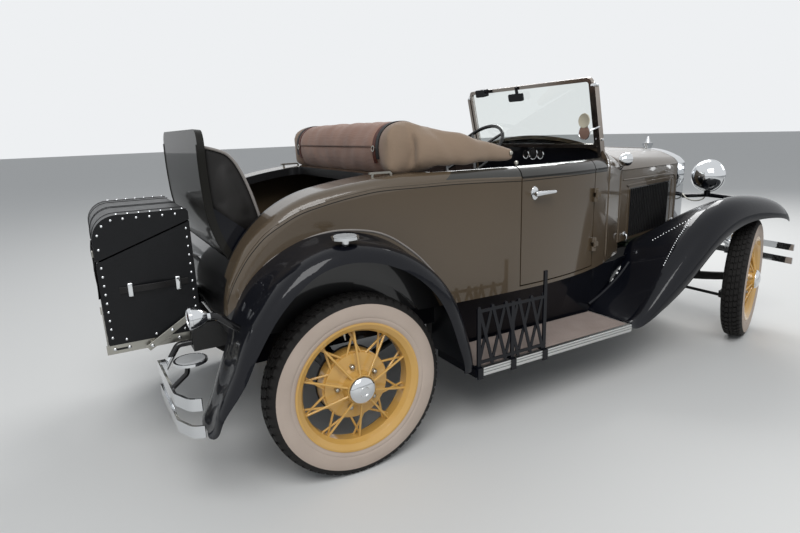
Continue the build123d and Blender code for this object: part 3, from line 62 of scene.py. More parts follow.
# Colours that more than one finish takes, or that are laid over another
TAUPE_PALE, TAUPE_DARK = "#524534", "#4a3e2f"
# The cockpit's dark brown is painted shade over the taupe inside the cockpit
# The louvres' near-black is painted shade for the gaps between the hood's louvres
BELT_BLACK, WELL_BLACK, LOUVRE_SHADE, COCKPIT_SHADE = "#22211d", "#0c0c0e", "#0d0d0e", "#241b18"
PLATE, BRACKET_BLACK = "#d9dbdd", "#0c0c0e"
# The boot's arms take a greyer tan than its flap
CANVAS_PALE, CANVAS_DARK, CANVAS_ARM_TAN = "#9b7a6a", "#896a5c", "#8b7866"

# At scale 1 a wave texture's bands stand this many millimetres apart
WAVE_BAND = 314

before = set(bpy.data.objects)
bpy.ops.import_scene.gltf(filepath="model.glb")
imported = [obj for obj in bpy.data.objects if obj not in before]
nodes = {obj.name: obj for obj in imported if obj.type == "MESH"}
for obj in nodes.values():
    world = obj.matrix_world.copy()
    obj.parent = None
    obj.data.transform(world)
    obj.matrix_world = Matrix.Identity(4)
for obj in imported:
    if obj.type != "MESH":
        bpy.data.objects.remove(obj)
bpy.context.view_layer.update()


def at(x, y, z):
    """A point of the drawings, in the frame's metres."""
    return Vector(((x - MIDDLE_X) / 1000, y / 1000, z / 1000))


def mm(value):
    """Millimetres, in the frame's metres."""
    return value / 1000


def place_x(x):
    """A station of the drawings, in the frame's metres."""
    return mm(x - MIDDLE_X)


# Camera and light

def set_camera():
    """The photograph's viewpoint, found from the places of the wheels in it."""
    data = bpy.data.cameras.new("viewpoint")
    camera = bpy.data.objects.new("viewpoint", data)
    bpy.context.scene.collection.objects.link(camera)
    turn = Matrix((CAMERA_RIGHT, CAMERA_UP, CAMERA_BACK)).transposed().to_4x4()
    camera.matrix_world = Matrix.Translation(at(*CAMERA_PLACE)) @ turn
    data.sensor_width = SENSOR_MM
    data.lens = LENS_MM
    data.clip_end = 200
    bpy.context.scene.camera = camera


def area_lamp(name, place, target, size, energy):
    """A soft rectangular lamp at a place, turned to a target."""
    data = bpy.data.lights.new(name, "AREA")
    data.shape = "RECTANGLE"
    data.size, data.size_y = size
    data.energy = energy
    lamp = bpy.data.objects.new(name, data)
    bpy.context.scene.collection.objects.link(lamp)
    lamp.location = place
    lamp.rotation_euler = (Vector(target) - Vector(place)).to_track_quat("-Z", "Y").to_euler()


def linear(code):
    """An sRGB hex colour as the linear colour that the shaders take."""
    parts = [int(code[i:i + 2], 16) / 255 for i in (1, 3, 5)]
    return [p / 12.92 if p <= 0.04045 else ((p + 0.055) / 1.055) ** 2.4 for p in parts] + [1]


# Materials

def add(tree, kind, values=None, links=None, **settings):
    """A shader node with its settings, its own values and what is linked into it."""
    made = tree.nodes.new(kind)
    for key, value in settings.items():
        setattr(made, key, value)
    for key, value in (values or {}).items():
        made.inputs[key].default_value = value
    for key, source in (links or {}).items():
        tree.links.new(source, made.inputs[key])
    return made


def start_material(name, **values):
    """A material with its main shader, and the place on the piece that patterns are drawn by."""
    made = bpy.data.materials.new(name)
    made.use_nodes = True
    tree = made.node_tree
    shader = tree.nodes["Principled BSDF"]
    for key, value in values.items():
        shader.inputs[key.replace("_", " ").title().replace("Ior", "IOR")].default_value = value
    place = add(tree, "ShaderNodeTexCoord").outputs["Object"]
    return made, tree, shader, place


def per_mm(size):
    """Noise and voronoi scale for a pattern whose cells are this many millimetres."""
    return 1000 / size


def vary(tree, shader, place, pale, dark, size, detail=4):
    """Colour that drifts between two shades over patches of a real size."""
    noise = add(tree, "ShaderNodeTexNoise", {"Scale": per_mm(size), "Detail": detail}, {"Vector": place})
    mix = add(tree, "ShaderNodeMix", {"A": linear(dark), "B": linear(pale)}, {"Factor": noise.outputs["Fac"]},
              data_type="RGBA")
    tree.links.new(mix.outputs["Result"], shader.inputs["Base Color"])
    return mix.outputs["Result"]


def roughen(tree, shader, place, low, high, size):
    """Gloss that drifts between two roughnesses over patches of a real size."""
    noise = add(tree, "ShaderNodeTexNoise", {"Scale": per_mm(size), "Detail": 6}, {"Vector": place})
    span = add(tree, "ShaderNodeMapRange", {"To Min": low, "To Max": high}, {"Value": noise.outputs["Fac"]})
    tree.links.new(span.outputs["Result"], shader.inputs["Roughness"])


def emboss(tree, shader, height, depth_mm, strength=1.0):
    """Raise the surface by a pattern, to a depth in millimetres at full strength."""
    bump = add(tree, "ShaderNodeBump", {"Strength": strength, "Distance": mm(depth_mm)}, {"Height": height})
    tree.links.new(bump.outputs["Normal"], shader.inputs["Normal"])


def compare(tree, source, limit, way):
    """One where the source is over (or under) a limit, and nought elsewhere."""
    return add(tree, "ShaderNodeMath", {1: limit}, {0: source}, operation=way).outputs[0]


def combine(tree, first, second, way="MULTIPLY"):
    """Two values multiplied, or put together in the way that is named."""
    return add(tree, "ShaderNodeMath", {}, {0: first, 1: second}, operation=way).outputs[0]


def within(tree, *limits):
    """One where every limit holds, each a source, a value in metres and the way to compare them."""
    mask = compare(tree, *limits[0])
    for limit in limits[1:]:
        mask = combine(tree, mask, compare(tree, *limit))
    return mask


def over(tree, shade, mask, code):
    """A second colour laid over the first where the mask is one."""
    mix = add(tree, "ShaderNodeMix", {"B": linear(code)}, {"Factor": mask, "A": shade}, data_type="RGBA")
    return mix.outputs["Result"]


def slanted(tree, parts, along_x, along_z):
    """A height measured across a slanted line: along_x times X plus along_z times Z."""
    shares = []
    for letter, share in (("X", along_x), ("Z", along_z)):
        part = add(tree, "ShaderNodeMath", {1: share}, {0: parts.outputs[letter]}, operation="MULTIPLY")
        shares.append(part.outputs[0])
    return combine(tree, *shares, "ADD")


def start_lacquer(name, pale=TAUPE_PALE, dark=TAUPE_DARK, patch=420, under=0.3, coat=0.8, haze=0.06):
    """Lacquer under a clear gloss, with the orange peel that spraying leaves, 9 mm wide and hardly deep.
    Its shade is given too, for other colours to be laid over."""
    made, tree, shader, place = start_material(name, roughness=0.42)
    shader.inputs["Specular IOR Level"].default_value = under
    shader.inputs["Coat Weight"].default_value = coat
    shader.inputs["Coat Roughness"].default_value = haze
    shade = vary(tree, shader, place, pale, dark, patch)
    peel = add(tree, "ShaderNodeTexNoise", {"Scale": per_mm(9), "Detail": 2}, {"Vector": place})
    emboss(tree, shader, peel.outputs["Fac"], 0.05, 0.35)
    return made, tree, shader, place, shade


def lacquer(name, pale, dark, patch=380, under=0.3, coat=0.8):
    """One colour of sprayed and rubbed-out lacquer or enamel."""
    return start_lacquer(name, pale, dark, patch, under, coat, 0.05)[0]


def body_lacquer():
    """Two-tone body: taupe lacquer, a near-black band at the top of the doors, black under the rear fenders,
    at the foot of the tail and in the rumble well, and a dark brown painted shade inside the cockpit."""
    made, tree, shader, place, shade = start_lacquer("taupe_body_lacquer")
    parts = add(tree, "ShaderNodeSeparateXYZ", links={"Vector": place})
    x, y, z = (parts.outputs[letter] for letter in "XYZ")
    off_middle = add(tree, "ShaderNodeMath", {}, {0: y}, operation="ABSOLUTE").outputs[0]
    foot = mm(BAND_FOOT[1]) + BAND_SLOPE * place_x(BAND_FOOT[0])
    rear = place_x(BAND_REAR[0]) - BAND_LEAN * mm(BAND_REAR[1])
    band = within(tree, (slanted(tree, parts, BAND_SLOPE, 1), foot, "GREATER_THAN"),
                  (slanted(tree, parts, 1, -BAND_LEAN), rear, "GREATER_THAN"),
                  (x, place_x(BAND_FRONT_X), "LESS_THAN"))
    shade = over(tree, shade, band, BELT_BLACK)
    flat_place = add(tree, "ShaderNodeVectorMath", {1: (1, 0, 1)}, {0: place}, operation="MULTIPLY")
    middle = (place_x(ARCH_MIDDLE[0]), 0, mm(ARCH_MIDDLE[1]))
    reach = add(tree, "ShaderNodeVectorMath", {1: middle}, {0: flat_place.outputs[0]},
                operation="DISTANCE").outputs["Value"]
    arch = compare(tree, reach, mm(ARCH_R), "LESS_THAN")
    tail = within(tree, (x, place_x(TAIL_X), "LESS_THAN"), (z, mm(TAIL_Z), "LESS_THAN"),
                  (off_middle, mm(TAIL_HALF), "LESS_THAN"))
    well = within(tree, (x, place_x(WELL_X), "LESS_THAN"), (off_middle, mm(WELL_HALF), "LESS_THAN"))
    dark = combine(tree, arch, combine(tree, tail, well, "MAXIMUM"), "MAXIMUM")
    shade = over(tree, shade, dark, WELL_BLACK)
    bow = add(tree, "ShaderNodeMath", {1: place_x(COCKPIT_MIDDLE_X)}, {0: x}, operation="SUBTRACT").outputs[0]
    bow = combine(tree, bow, bow)
    bow = add(tree, "ShaderNodeMath", {1: COCKPIT_BOW}, {0: bow}, operation="MULTIPLY").outputs[0]
    inside = within(tree, (combine(tree, off_middle, bow, "ADD"), mm(COCKPIT_HALF), "LESS_THAN"),
                    (z, mm(COCKPIT_Z), "LESS_THAN"), (x, place_x(COCKPIT_X[0]), "GREATER_THAN"),
                    (x, place_x(COCKPIT_X[1]), "LESS_THAN"))
    # Dark brown over the taupe inside the cockpit: painted shade
    shade = over(tree, shade, inside, COCKPIT_SHADE)
    tree.links.new(shade, shader.inputs["Base Color"])
    return made


def hood_lacquer():
    """Hood side: the same taupe, with the louvred field painted near-black as painted shade for the gaps between
    the louvres.
    """
    made, tree, shader, place, shade = start_lacquer("taupe_hood_lacquer")
    parts = add(tree, "ShaderNodeSeparateXYZ", links={"Vector": place})
    x, z = parts.outputs["X"], parts.outputs["Z"]
    field = within(tree, (x, place_x(LOUVRE_X[0]), "GREATER_THAN"), (x, place_x(LOUVRE_X[1]), "LESS_THAN"),
                   (z, mm(LOUVRE_Z[0]), "GREATER_THAN"), (z, mm(LOUVRE_Z[1]), "LESS_THAN"))
    # The louvred field is near-black as painted shade between the louvres
    tree.links.new(over(tree, shade, field, LOUVRE_SHADE), shader.inputs["Base Color"])
    return made


def bright_metal(name, colour, low, high, bump=0.0):
    """Plated or polished metal, with wiping marks in its gloss."""
    made, tree, shader, place = start_material(name, metallic=1.0)
    shader.inputs["Base Color"].default_value = linear(colour)
    roughen(tree, shader, place, low, high, 35)
    if bump:
        grain = add(tree, "ShaderNodeTexNoise", {"Scale": per_mm(3), "Detail": 3}, {"Vector": place})
        emboss(tree, shader, grain.outputs["Fac"], bump)
    return made


def plated_beyond(name, letter, limit, way):
    """Chromium plate on one side of a limit along X or Z, and black bracket paint on the other."""
    made, tree, shader, place = start_material(name, roughness=0.12)
    parts = add(tree, "ShaderNodeSeparateXYZ", links={"Vector": place})
    plated = compare(tree, parts.outputs[letter], limit, way)
    painted = add(tree, "ShaderNodeRGB")
    painted.outputs[0].default_value = linear(BRACKET_BLACK)
    tree.links.new(over(tree, painted.outputs[0], plated, PLATE), shader.inputs["Base Color"])
    tree.links.new(plated, shader.inputs["Metallic"])
    return made


def grained(name, pale, dark, roughness, grain_mm, depth_mm, patch=60):
    """Leather or leathercloth: small cells of grain, and a worn shade here and there."""
    made, tree, shader, place = start_material(name)
    shader.inputs["Specular IOR Level"].default_value = 0.28
    vary(tree, shader, place, pale, dark, patch)
    roughen(tree, shader, place, roughness - 0.08, roughness + 0.1, 30)
    cells = add(tree, "ShaderNodeTexVoronoi", {"Scale": per_mm(grain_mm)}, {"Vector": place}, feature="F1")
    emboss(tree, shader, cells.outputs["Distance"], depth_mm, 0.6)
    return made


def rubber(name, pale, dark, roughness, patch=45):
    """Moulded rubber with dust in its pores."""
    made, tree, shader, place = start_material(name)
    shader.inputs["Specular IOR Level"].default_value = 0.3
    vary(tree, shader, place, pale, dark, patch, 8)
    roughen(tree, shader, place, roughness - 0.06, roughness + 0.06, 25)
    pores = add(tree, "ShaderNodeTexNoise", {"Scale": per_mm(2.5), "Detail": 4}, {"Vector": place})
    emboss(tree, shader, pores.outputs["Fac"], 0.25, 0.4)
    return made


def woven_canvas():
    """Cotton duck in plain weave, browner on the flap than on the arms. Threads of 0.8 mm are drawn six times
    as coarse so that they show, over slack creases of 70 mm."""
    made, tree, shader, place = start_material("tan_canvas", roughness=0.92)
    shader.inputs["Sheen Weight"].default_value = 0.25
    shader.inputs["Specular IOR Level"].default_value = 0.2
    shade = vary(tree, shader, place, CANVAS_PALE, CANVAS_DARK, 130, 6)
    parts = add(tree, "ShaderNodeSeparateXYZ", links={"Vector": place})
    off_middle = add(tree, "ShaderNodeMath", {}, {0: parts.outputs["Y"]}, operation="ABSOLUTE").outputs[0]
    arms = add(tree, "ShaderNodeMapRange", {"From Min": 0.44, "From Max": 0.53}, {"Value": off_middle})
    tree.links.new(over(tree, shade, arms.outputs["Result"], CANVAS_ARM_TAN), shader.inputs["Base Color"])
    heights = []
    for direction in ("X", "Z"):
        values = {"Scale": WAVE_BAND / 4.93, "Distortion": 0.6, "Detail Scale": 2.0}
        wave = add(tree, "ShaderNodeTexWave", values, {"Vector": place}, wave_type="BANDS",
                   bands_direction=direction)
        heights.append(wave.outputs["Fac"])
    weave = combine(tree, *heights, "ADD")
    creases = add(tree, "ShaderNodeTexNoise", {"Scale": per_mm(70), "Detail": 3}, {"Vector": place})
    deep = add(tree, "ShaderNodeMath", {1: 6.0}, {0: creases.outputs["Fac"]}, operation="MULTIPLY").outputs[0]
    emboss(tree, shader, combine(tree, weave, deep, "ADD"), 0.5, 0.6)
    return made


def clear_glass(name, colour, roughness=0.0, ribs_mm=0):
    """Glass, clear or tinted, and pressed in upright ribs where it has them."""
    made, tree, shader, place = start_material(name, roughness=roughness)
    shader.inputs["Base Color"].default_value = linear(colour)
    shader.inputs["Transmission Weight"].default_value = 1.0
    shader.inputs["IOR"].default_value = 1.5
    if ribs_mm:
        wave = add(tree, "ShaderNodeTexWave", {"Scale": WAVE_BAND / ribs_mm}, {"Vector": place},
                   wave_type="BANDS", bands_direction="Y")
        emboss(tree, shader, wave.outputs["Fac"], 1.0)
    return made


def plain_paint(name, pale, dark, roughness, patch=90):
    """Brushed chassis paint, flat and a little dusty."""
    made, tree, shader, place = start_material(name)
    vary(tree, shader, place, pale, dark, patch, 8)
    roughen(tree, shader, place, roughness - 0.08, roughness + 0.12, 50)
    grain = add(tree, "ShaderNodeTexNoise", {"Scale": per_mm(4), "Detail": 5}, {"Vector": place})
    emboss(tree, shader, grain.outputs["Fac"], 0.15, 0.5)
    return made


# Sprayed cellulose lacquer on steel, rubbed out: deep colour under a wet gloss that shows soft reflections
BODY = body_lacquer()
HOOD = hood_lacquer()
TAUPE = lacquer("taupe_lacquer", TAUPE_PALE, TAUPE_DARK)
# The same near-black also covers the rumble lid and the thin lines under the belt mouldings as painted shade: the
# lid is taupe like the body
BELT_AND_SHADE_BLACK = lacquer("black_belt_and_painted_shade_lacquer", "#1b1a17", "#161512", under=0.05, coat=0.35)
# Dipped and baked enamel: the blue-black of the fenders, and the creamy yellow of the wheels
BLACK = lacquer("black_fender_enamel", "#0b0d15", "#08090e", under=0.05, coat=0.5)
CREAM = lacquer("cream_yellow_wheel_enamel", "#cda35a", "#c1964b", 120)
# Chromium over nickel, buffed: a cold, near-mirror plate
CHROME = bright_metal("chromium_plate", PLATE, 0.03, 0.10)
# The same plate on the windscreen posts, tinted warm grey as a painted reflection of its brown surroundings, with
# a broad dull shine
WARM_REFLECTION_PLATE = bright_metal("post_plating_with_painted_reflection", "#a89f97", 0.10, 0.28, 0.05)
# Castings that are plated at the end that shows and brushed black at the bracket
LAMP = plated_beyond("plated_lamp_on_black_arm", "X", place_x(-505), "LESS_THAN")
BUMPERETTE = plated_beyond("plated_bars_on_black_arms", "Z", 0.49, "LESS_THAN")
STEP_PLATE = plated_beyond("plated_step_on_black_stem", "Z", 0.55, "GREATER_THAN")
# Nickelled steel, wiped but unpolished: yellow-grey and satin
NICKEL = bright_metal("dull_plated_steel", "#a9a79f", 0.22, 0.40, 0.1)
# Extruded aluminium edging: pale, with a soft satin sheen
ALUMINIUM = bright_metal("extruded_aluminium", "#c9cac8", 0.24, 0.38)
# Moulded rubber, flat and grainy: dusty black on the tread, warm grey-white on the sidewall, and greys that
# feet have worn on the boards and steps
TYRE = rubber("black_tyre_rubber", "#1e1c1b", "#131211", 0.78)
WHITEWALL = rubber("white_tyre_rubber", "#bbaca0", "#a99a8e", 0.66, 120)
MAT = rubber("grey_board_matting", "#a1948d", "#8a7d76", 0.80, 90)
BLACK_RUBBER = rubber("black_moulded_rubber", "#1b1b1b", "#121212", 0.6)
STEP_RUBBER = rubber("grey_step_rubber", "#b4b5b5", "#9b9c9d", 0.7)
# Coated cloth with an embossed grain of 3 mm: small broken highlights, more of them on the trunk
SEAT = grained("black_seat_leathercloth", "#211f1e", "#171615", 0.46, 3.0, 0.35)
PIPING = grained("grey_seat_piping", "#8f8a86", "#7b7672", 0.55, 3.0, 0.3)
TRUNK = grained("black_trunk_leathercloth", "#0f1013", "#08090b", 0.36, 3.2, 0.45)
# Tanned hide: black thongs, and red-brown harness straps that are worn paler in places
THONG = grained("black_strap_leather", "#1b1a1a", "#100f0f", 0.5, 3.0, 0.3)
STRAP = grained("brown_harness_leather", "#5a2c1f", "#401c13", 0.5, 3.5, 0.4, 40)
CANVAS = woven_canvas()
# Plate glass, nearly clear with a breath of green, headlamp glass pressed in flutes, and deep red lamp glass.
# Flutes of 14 mm are drawn twice as coarse so that they show.
GLASS = clear_glass("plate_glass", "#f4f8f6")
LENS = clear_glass("fluted_lamp_glass", "#f4f6f4", 0.05, 27.6)
RED_GLASS = clear_glass("red_lamp_glass", "#a80d0a", 0.1)
# Brushed paint: flat black iron, green engine enamel, and the worn black of the floor boards
CHASSIS = plain_paint("black_chassis_paint", "#161616", "#0d0d0d", 0.55)
ENGINE_GREEN = plain_paint("engine_green_enamel", "#3a4a38", "#2c392b", 0.45)
FLOOR_BOARD = plain_paint("floor_board_black", "#1c1a18", "#121110", 0.75)
CORE = plain_paint("radiator_core_black", "#1a1a1a", "#0f0f0f", 0.5)
# Moulded ebonite with a low polish, and the ivory enamel of the blank plaque
HARD_RUBBER = plain_paint("black_hard_rubber", "#111113", "#0b0b0c", 0.22)
PLAQUE = plain_paint("dial_face_ivory", "#c9c2ad", "#b9b19b", 0.5)

# The finish of each CAD node that stays in view
CAD_FINISHES = (
    (BODY, "rear_body cowl door_left door_right"),
    (TAUPE, "hood_top_left hood_top_right hood_hinge"),
    # The rumble lid is taupe like the body; its near-black here is painted shade
    (BELT_AND_SHADE_BLACK, "rumble_lid"),
    (HOOD, "hood_side_left hood_side_right"),
    (BLACK, "front_fenders rear_fenders running_boards steering_column headlamp_bar rumble_arms board_rack"),
    (BLACK, "screen_fittings instrument_panel"),
    (CHASSIS, "frame_rails front_axle rear_axle knuckle_left knuckle_right tie_rod"),
    (ENGINE_GREEN, "engine"),
    (FLOOR_BOARD, "floor_pan"),
    (CORE, "radiator_core"),
    (CHROME, "radiator_shell headlamp_shells cowl_lamps front_bumper"),
    (BUMPERETTE, "rear_bumpers"),
    (STEP_PLATE, "step_plates"),
    (WARM_REFLECTION_PLATE, "windscreen_frame"),
    (LAMP, "tail_lamps"),
    (NICKEL, "luggage_rack top_rests"),
    (GLASS, "windscreen_glass"),
    (LENS, "headlamp_lenses"),
    (CREAM, "wheel_front_left wheel_front_right wheel_rear_left wheel_rear_right"),
    (HARD_RUBBER, "steering_wheel"),
    (TRUNK, "trunk trunk_lid"),
)


def paint(material, names):
    """Give CAD nodes their real finish."""
    for name in names.split():
        nodes[name].data.materials.clear()
        nodes[name].data.materials.append(material)


# Making pieces

# A rivet's or stud's head: shares of its radius and height, ring by ring
HEAD_RINGS, HEAD_SIDES = ((1.0, 0.0), (0.86, 0.55), (0.45, 0.92)), 10
# Distance between the places where a moulding is set on the skin
LAY_STEP = 12


def piece(name, mesh, material, body, smooth=35):
    """Put a finished mesh on the car, riding on one of its bodies, with the slot of its first material."""
    obj = bpy.data.objects.new(name, mesh)
    bpy.context.scene.collection.objects.link(obj)
    finishes = material if isinstance(material, (list, tuple)) else [material]
    for finish in finishes:
        mesh.materials.append(finish)
    if smooth:
        for polygon in mesh.polygons:
            polygon.use_smooth = True
        mesh.set_sharp_from_angle(angle=math.radians(smooth))
    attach(obj, body)
    return obj


def mesh_of(name, points, faces, kinds=None):
    """A mesh of points and faces, with the number of each face's material where it has more than one."""
    mesh = bpy.data.meshes.new(name)
    mesh.from_pydata([tuple(p) for p in points], [], faces)
    if kinds:
        for polygon, kind in zip(mesh.polygons, kinds):
            polygon.material_index = kind
    mesh.validate()
    return mesh


def tidy_normals(mesh):
    """Turn every face outward."""
    work = bmesh.new()
    work.from_mesh(mesh)
    bmesh.ops.recalc_face_normals(work, faces=work.faces)
    work.to_mesh(mesh)
    work.free()


def round_about(place, side, other, angle, radius):
    """A place at an angle and a radius in millimetres about a middle, in the plane of two directions."""
    return place + (side * math.cos(angle) + other * math.sin(angle)) * mm(radius)


def between_rings(start, rings, count):
    """The four-sided faces between rings of points that follow one another."""
    return [(j + i, j + (i + 1) % count, j + count + (i + 1) % count, j + count + i)
            for j in range(start, start + (rings - 1) * count, count) for i in range(count)]


def frames_along(points):
    """Tangent and two cross directions at each point of a path, without twist."""
    tangents = [(after - before).normalized()
                for before, after in zip(points[:1] + points[:-1], points[1:] + points[-1:])]
    side = tangents[0].orthogonal().normalized()
    made = []
    for tangent in tangents:
        side = (side - tangent * side.dot(tangent)).normalized()
        made.append((tangent, side, tangent.cross(side)))
    return made


def sweep(name, points, section, material, body, sides=None):
    """A section of (across, out) offsets in metres, carried along a path. sides gives the out direction."""
    ring = len(section)
    verts = []
    for i, (tangent, side, normal) in enumerate(frames_along(points)):
        if sides:
            normal = (sides[i] - tangent * sides[i].dot(tangent)).normalized()
            side = tangent.cross(normal)
        verts += [points[i] + side * a + normal * b for a, b in section]
    faces = between_rings(0, len(points), ring)
    faces.append(tuple(range(ring)))
    faces.append(tuple(range(len(verts) - ring, len(verts)))[::-1])
    mesh = mesh_of(name, verts, faces)
    tidy_normals(mesh)
    return piece(name, mesh, material, body)


def circle(radius, count=12):
    """A round section."""
    return [(radius * math.cos(2 * math.pi * i / count), radius * math.sin(2 * math.pi * i / count))
            for i in range(count)]


def flat(width, thick, base=0.0):
    """A strap's section: width across, lying on its base, with softened edges."""
    w, e = width / 2, min(thick, width) * 0.3
    return [(-w, base), (w, base), (w, base + thick - e), (w - e, base + thick), (e - w, base + thick),
            (-w, base + thick - e)]


def smooth_path(points, step=0.012):
    """Points of a Catmull-Rom line through the given ones."""
    made = []
    ends = [points[0]] + list(points) + [points[-1]]
    for a, b, c, d in zip(ends, ends[1:], ends[2:], ends[3:]):
        parts = max(2, int((c - b).length / step))
        for i in range(parts):
            t = i / parts
            made.append(0.5 * ((2 * b) + (c - a) * t + (2 * a - 5 * b + 4 * c - d) * t * t
                               + (3 * b - a - 3 * c + d) * t ** 3))
    made.append(points[-1])
    return made


def tube(name, points, radius, material, body):
    """A round bar along a path, with its radius in millimetres."""
    return sweep(name, points, circle(mm(radius)), material, body)


def turned(name, outline, place, axis, material, body, count=64, kinds=None, smooth=35):
    """A lathe shape: outline of (radius, along) in millimetres about an axis through a place. kinds gives the
    material of each band."""
    axis = Vector(axis).normalized()
    side = axis.orthogonal().normalized()
    other = axis.cross(side)
    verts = [round_about(place + axis * mm(along), side, other, 2 * math.pi * i / count, max(radius, 0.02))
             for radius, along in outline for i in range(count)]
    faces = between_rings(0, len(outline), count)
    marks = [kind for kind in kinds or [0] * (len(outline) - 1) for _ in range(count)]
    if outline[0] != outline[-1]:
        faces += [tuple(range(count)), tuple(range(len(verts) - count, len(verts)))]
        marks += [0, 0]
    mesh = mesh_of(name, verts, faces, marks)
    tidy_normals(mesh)
    return piece(name, mesh, material, body, smooth)


def join(name, parts):
    """Several small meshes of one material as one piece."""
    first = parts[0]
    work = bmesh.new()
    for part in parts:
        work.from_mesh(part.data)
    work.to_mesh(first.data)
    work.free()
    for part in parts[1:]:
        bpy.data.objects.remove(part)
    first.name = name
    return first


def domes(name, places, radius, height, material, body):
    """Rows of round stud or rivet heads, each a place and the way it faces."""
    verts, faces = [], []
    count = HEAD_SIDES
    for place, out in places:
        out = Vector(out).normalized()
        side = out.orthogonal().normalized()
        other = out.cross(side)
        start = len(verts)
        for r, h in HEAD_RINGS:
            foot = place + out * mm(height * h)
            verts += [round_about(foot, side, other, 2 * math.pi * i / count, radius * r)
                      for i in range(count)]
        faces += between_rings(start, len(HEAD_RINGS), count)
        last = len(verts) - count
        tip = len(verts)
        verts.append(place + out * mm(height))
        faces += [(last + i, last + (i + 1) % count, tip) for i in range(count)]
        faces.append(tuple(range(start, start + count))[::-1])
    return piece(name, mesh_of(name, verts, faces), material, body, 80)


def block(name, low, high, material, body, bevel=2.0, segments=3):
    """A softened rectangular piece between two opposite corners in the drawings' millimetres."""
    work = bmesh.new()
    bmesh.ops.create_cube(work, size=1)
    size = [abs(h - l) for l, h in zip(low, high)]
    middle = [(h + l) / 2 for l, h in zip(low, high)]
    for vert in work.verts:
        vert.co = at(*[m + c * s for m, c, s in zip(middle, vert.co, size)])
    if bevel:
        bmesh.ops.bevel(work, geom=list(work.edges), offset=mm(bevel), segments=segments, affect="EDGES",
                        profile=0.6)
    mesh = bpy.data.meshes.new(name)
    work.to_mesh(mesh)
    work.free()
    return piece(name, mesh, material, body, 40)


class Skin:
    """The outside of a CAD node, for laying mouldings and stripes on it."""

    def __init__(self, name):
        mesh = nodes[name].data
        verts = [vert.co.copy() for vert in mesh.vertices]
        self.tree = BVHTree.FromPolygons(verts, [list(polygon.vertices) for polygon in mesh.polygons])

    def hit(self, start, direction):
        """Where a line of sight first meets the skin, and the normal there."""
        place, normal, _, _ = self.tree.ray_cast(start, direction)
        return place, normal

    def side(self, x, z, side):
        """Where the skin stands at a station and height, seen from one side of the car."""
        return self.hit(at(x, side * 1500, z), Vector((0, -side, 0)))

    def hoop(self, x, middle_z, reach):
        """Places round a section of the car, from low on the right over the top to low on the left."""
        points, outs = [], []
        for number in range(61):
            angle = math.radians(reach * (number / 30 - 1))
            way = Vector((0, math.sin(angle), math.cos(angle)))
            place, normal = self.hit(at(x, 0, middle_z) + way * 1.5, -way)
            if place is not None:
                points.append(place)
                outs.append(normal if normal.dot(way) > 0 else -normal)
        return points, outs

    def nearest(self, place, outward):
        """The skin's nearest place, and its normal on the outward side."""
        found, normal, _, _ = self.tree.find_nearest(place)
        return found, normal if normal.dot(Vector(outward)) > 0 else -normal

    def lay(self, name, line, section, side, material, body):
        """A moulding along a line of (x, z) stations, laid on the side of the car."""
        path = smooth_path([Vector((x, 0, z)) for x, z in line], LAY_STEP)
        points, outs = [], []
        for p in path:
            place, normal = self.side(p.x, p.z, side)
            if place is not None:
                points.append(place)
                outs.append(normal if normal.y * side > 0 else -normal)
        return sweep(name, points, section, material, body, sides=outs)


# Wheels

# Outlines of turned pieces are (radius, along the axis). The tyre's bands 14 to 23 are white.
TYRE_OUTLINE = [(RIM_SEAT_R + 2, -44), (RIM_LIP_R + 2, -50), (272, -54.5), (290, -59), (310, -60),
                (330, -57.5), (345, -52), (352, -46), (354, -38), (356, 0), (354, 38), (352, 46), (342, 52.5),
                (333, 56), (331, 57), (310, 59.8), (290, 59), (280, 57.4), (279, 56.4), (277.6, 56.4), (276.6, 57),
                (268, 54.4), (RIM_LIP_R + 1, 51), (RIM_SEAT_R + 2, 44), (RIM_SEAT_R + 2, -44)]
TYRE_KINDS = [0] * 13 + [1] * 10 + [0]
HUB_CAP_OUTLINE = [(0, 92), (14, 91.5), (15, 92.6), (20, 92.6), (21, 91.2), (38, 88), (50, 81),
                   (55, 74), (56, 70), (54.6, 68.4), (54.4, 66)]
NUT_OUTLINE = [(0, 40), (6, 39), (10, 36), (11, 33), (11, 20)]
VALVE_OUTLINE = [(0, 0), (3.6, 0), (3.6, -10), (4.6, -11), (4.6, -22), (3.2, -23), (3.2, -38), (0, -38)]

# Tread blocks as (off the middle, top radius, foot radius), with the lead of the slanted ones in radians
SHOULDER_LUG = ((55.3, 334, 328), (51.5, 345, 338), (45, 357, 348), (33, 361.2, 350))
INNER_LUG = ((29, 362, 350, 0.0), (17, 363.2, 350, 0.02), (11, 363.4, 350, 0.0))
MIDDLE_LUG = ((-7, 363.5, 350, -0.012), (0, 363.6, 350, 0.012), (7, 363.5, 350, -0.012))


def wheel_place(side, front):
    """Middle of a wheel and the way its face looks."""
    if not front:
        return at(0, side * HALF_TRACK, TYRE_R), Vector((0, side, 0))
    out = Vector((-side * math.sin(STEER_AT_REST), side * math.cos(STEER_AT_REST), 0))
    pin = at(WHEELBASE, side * (HALF_TRACK - KINGPIN_TO_WHEEL), TYRE_R)
    return pin + out * mm(KINGPIN_TO_WHEEL), out


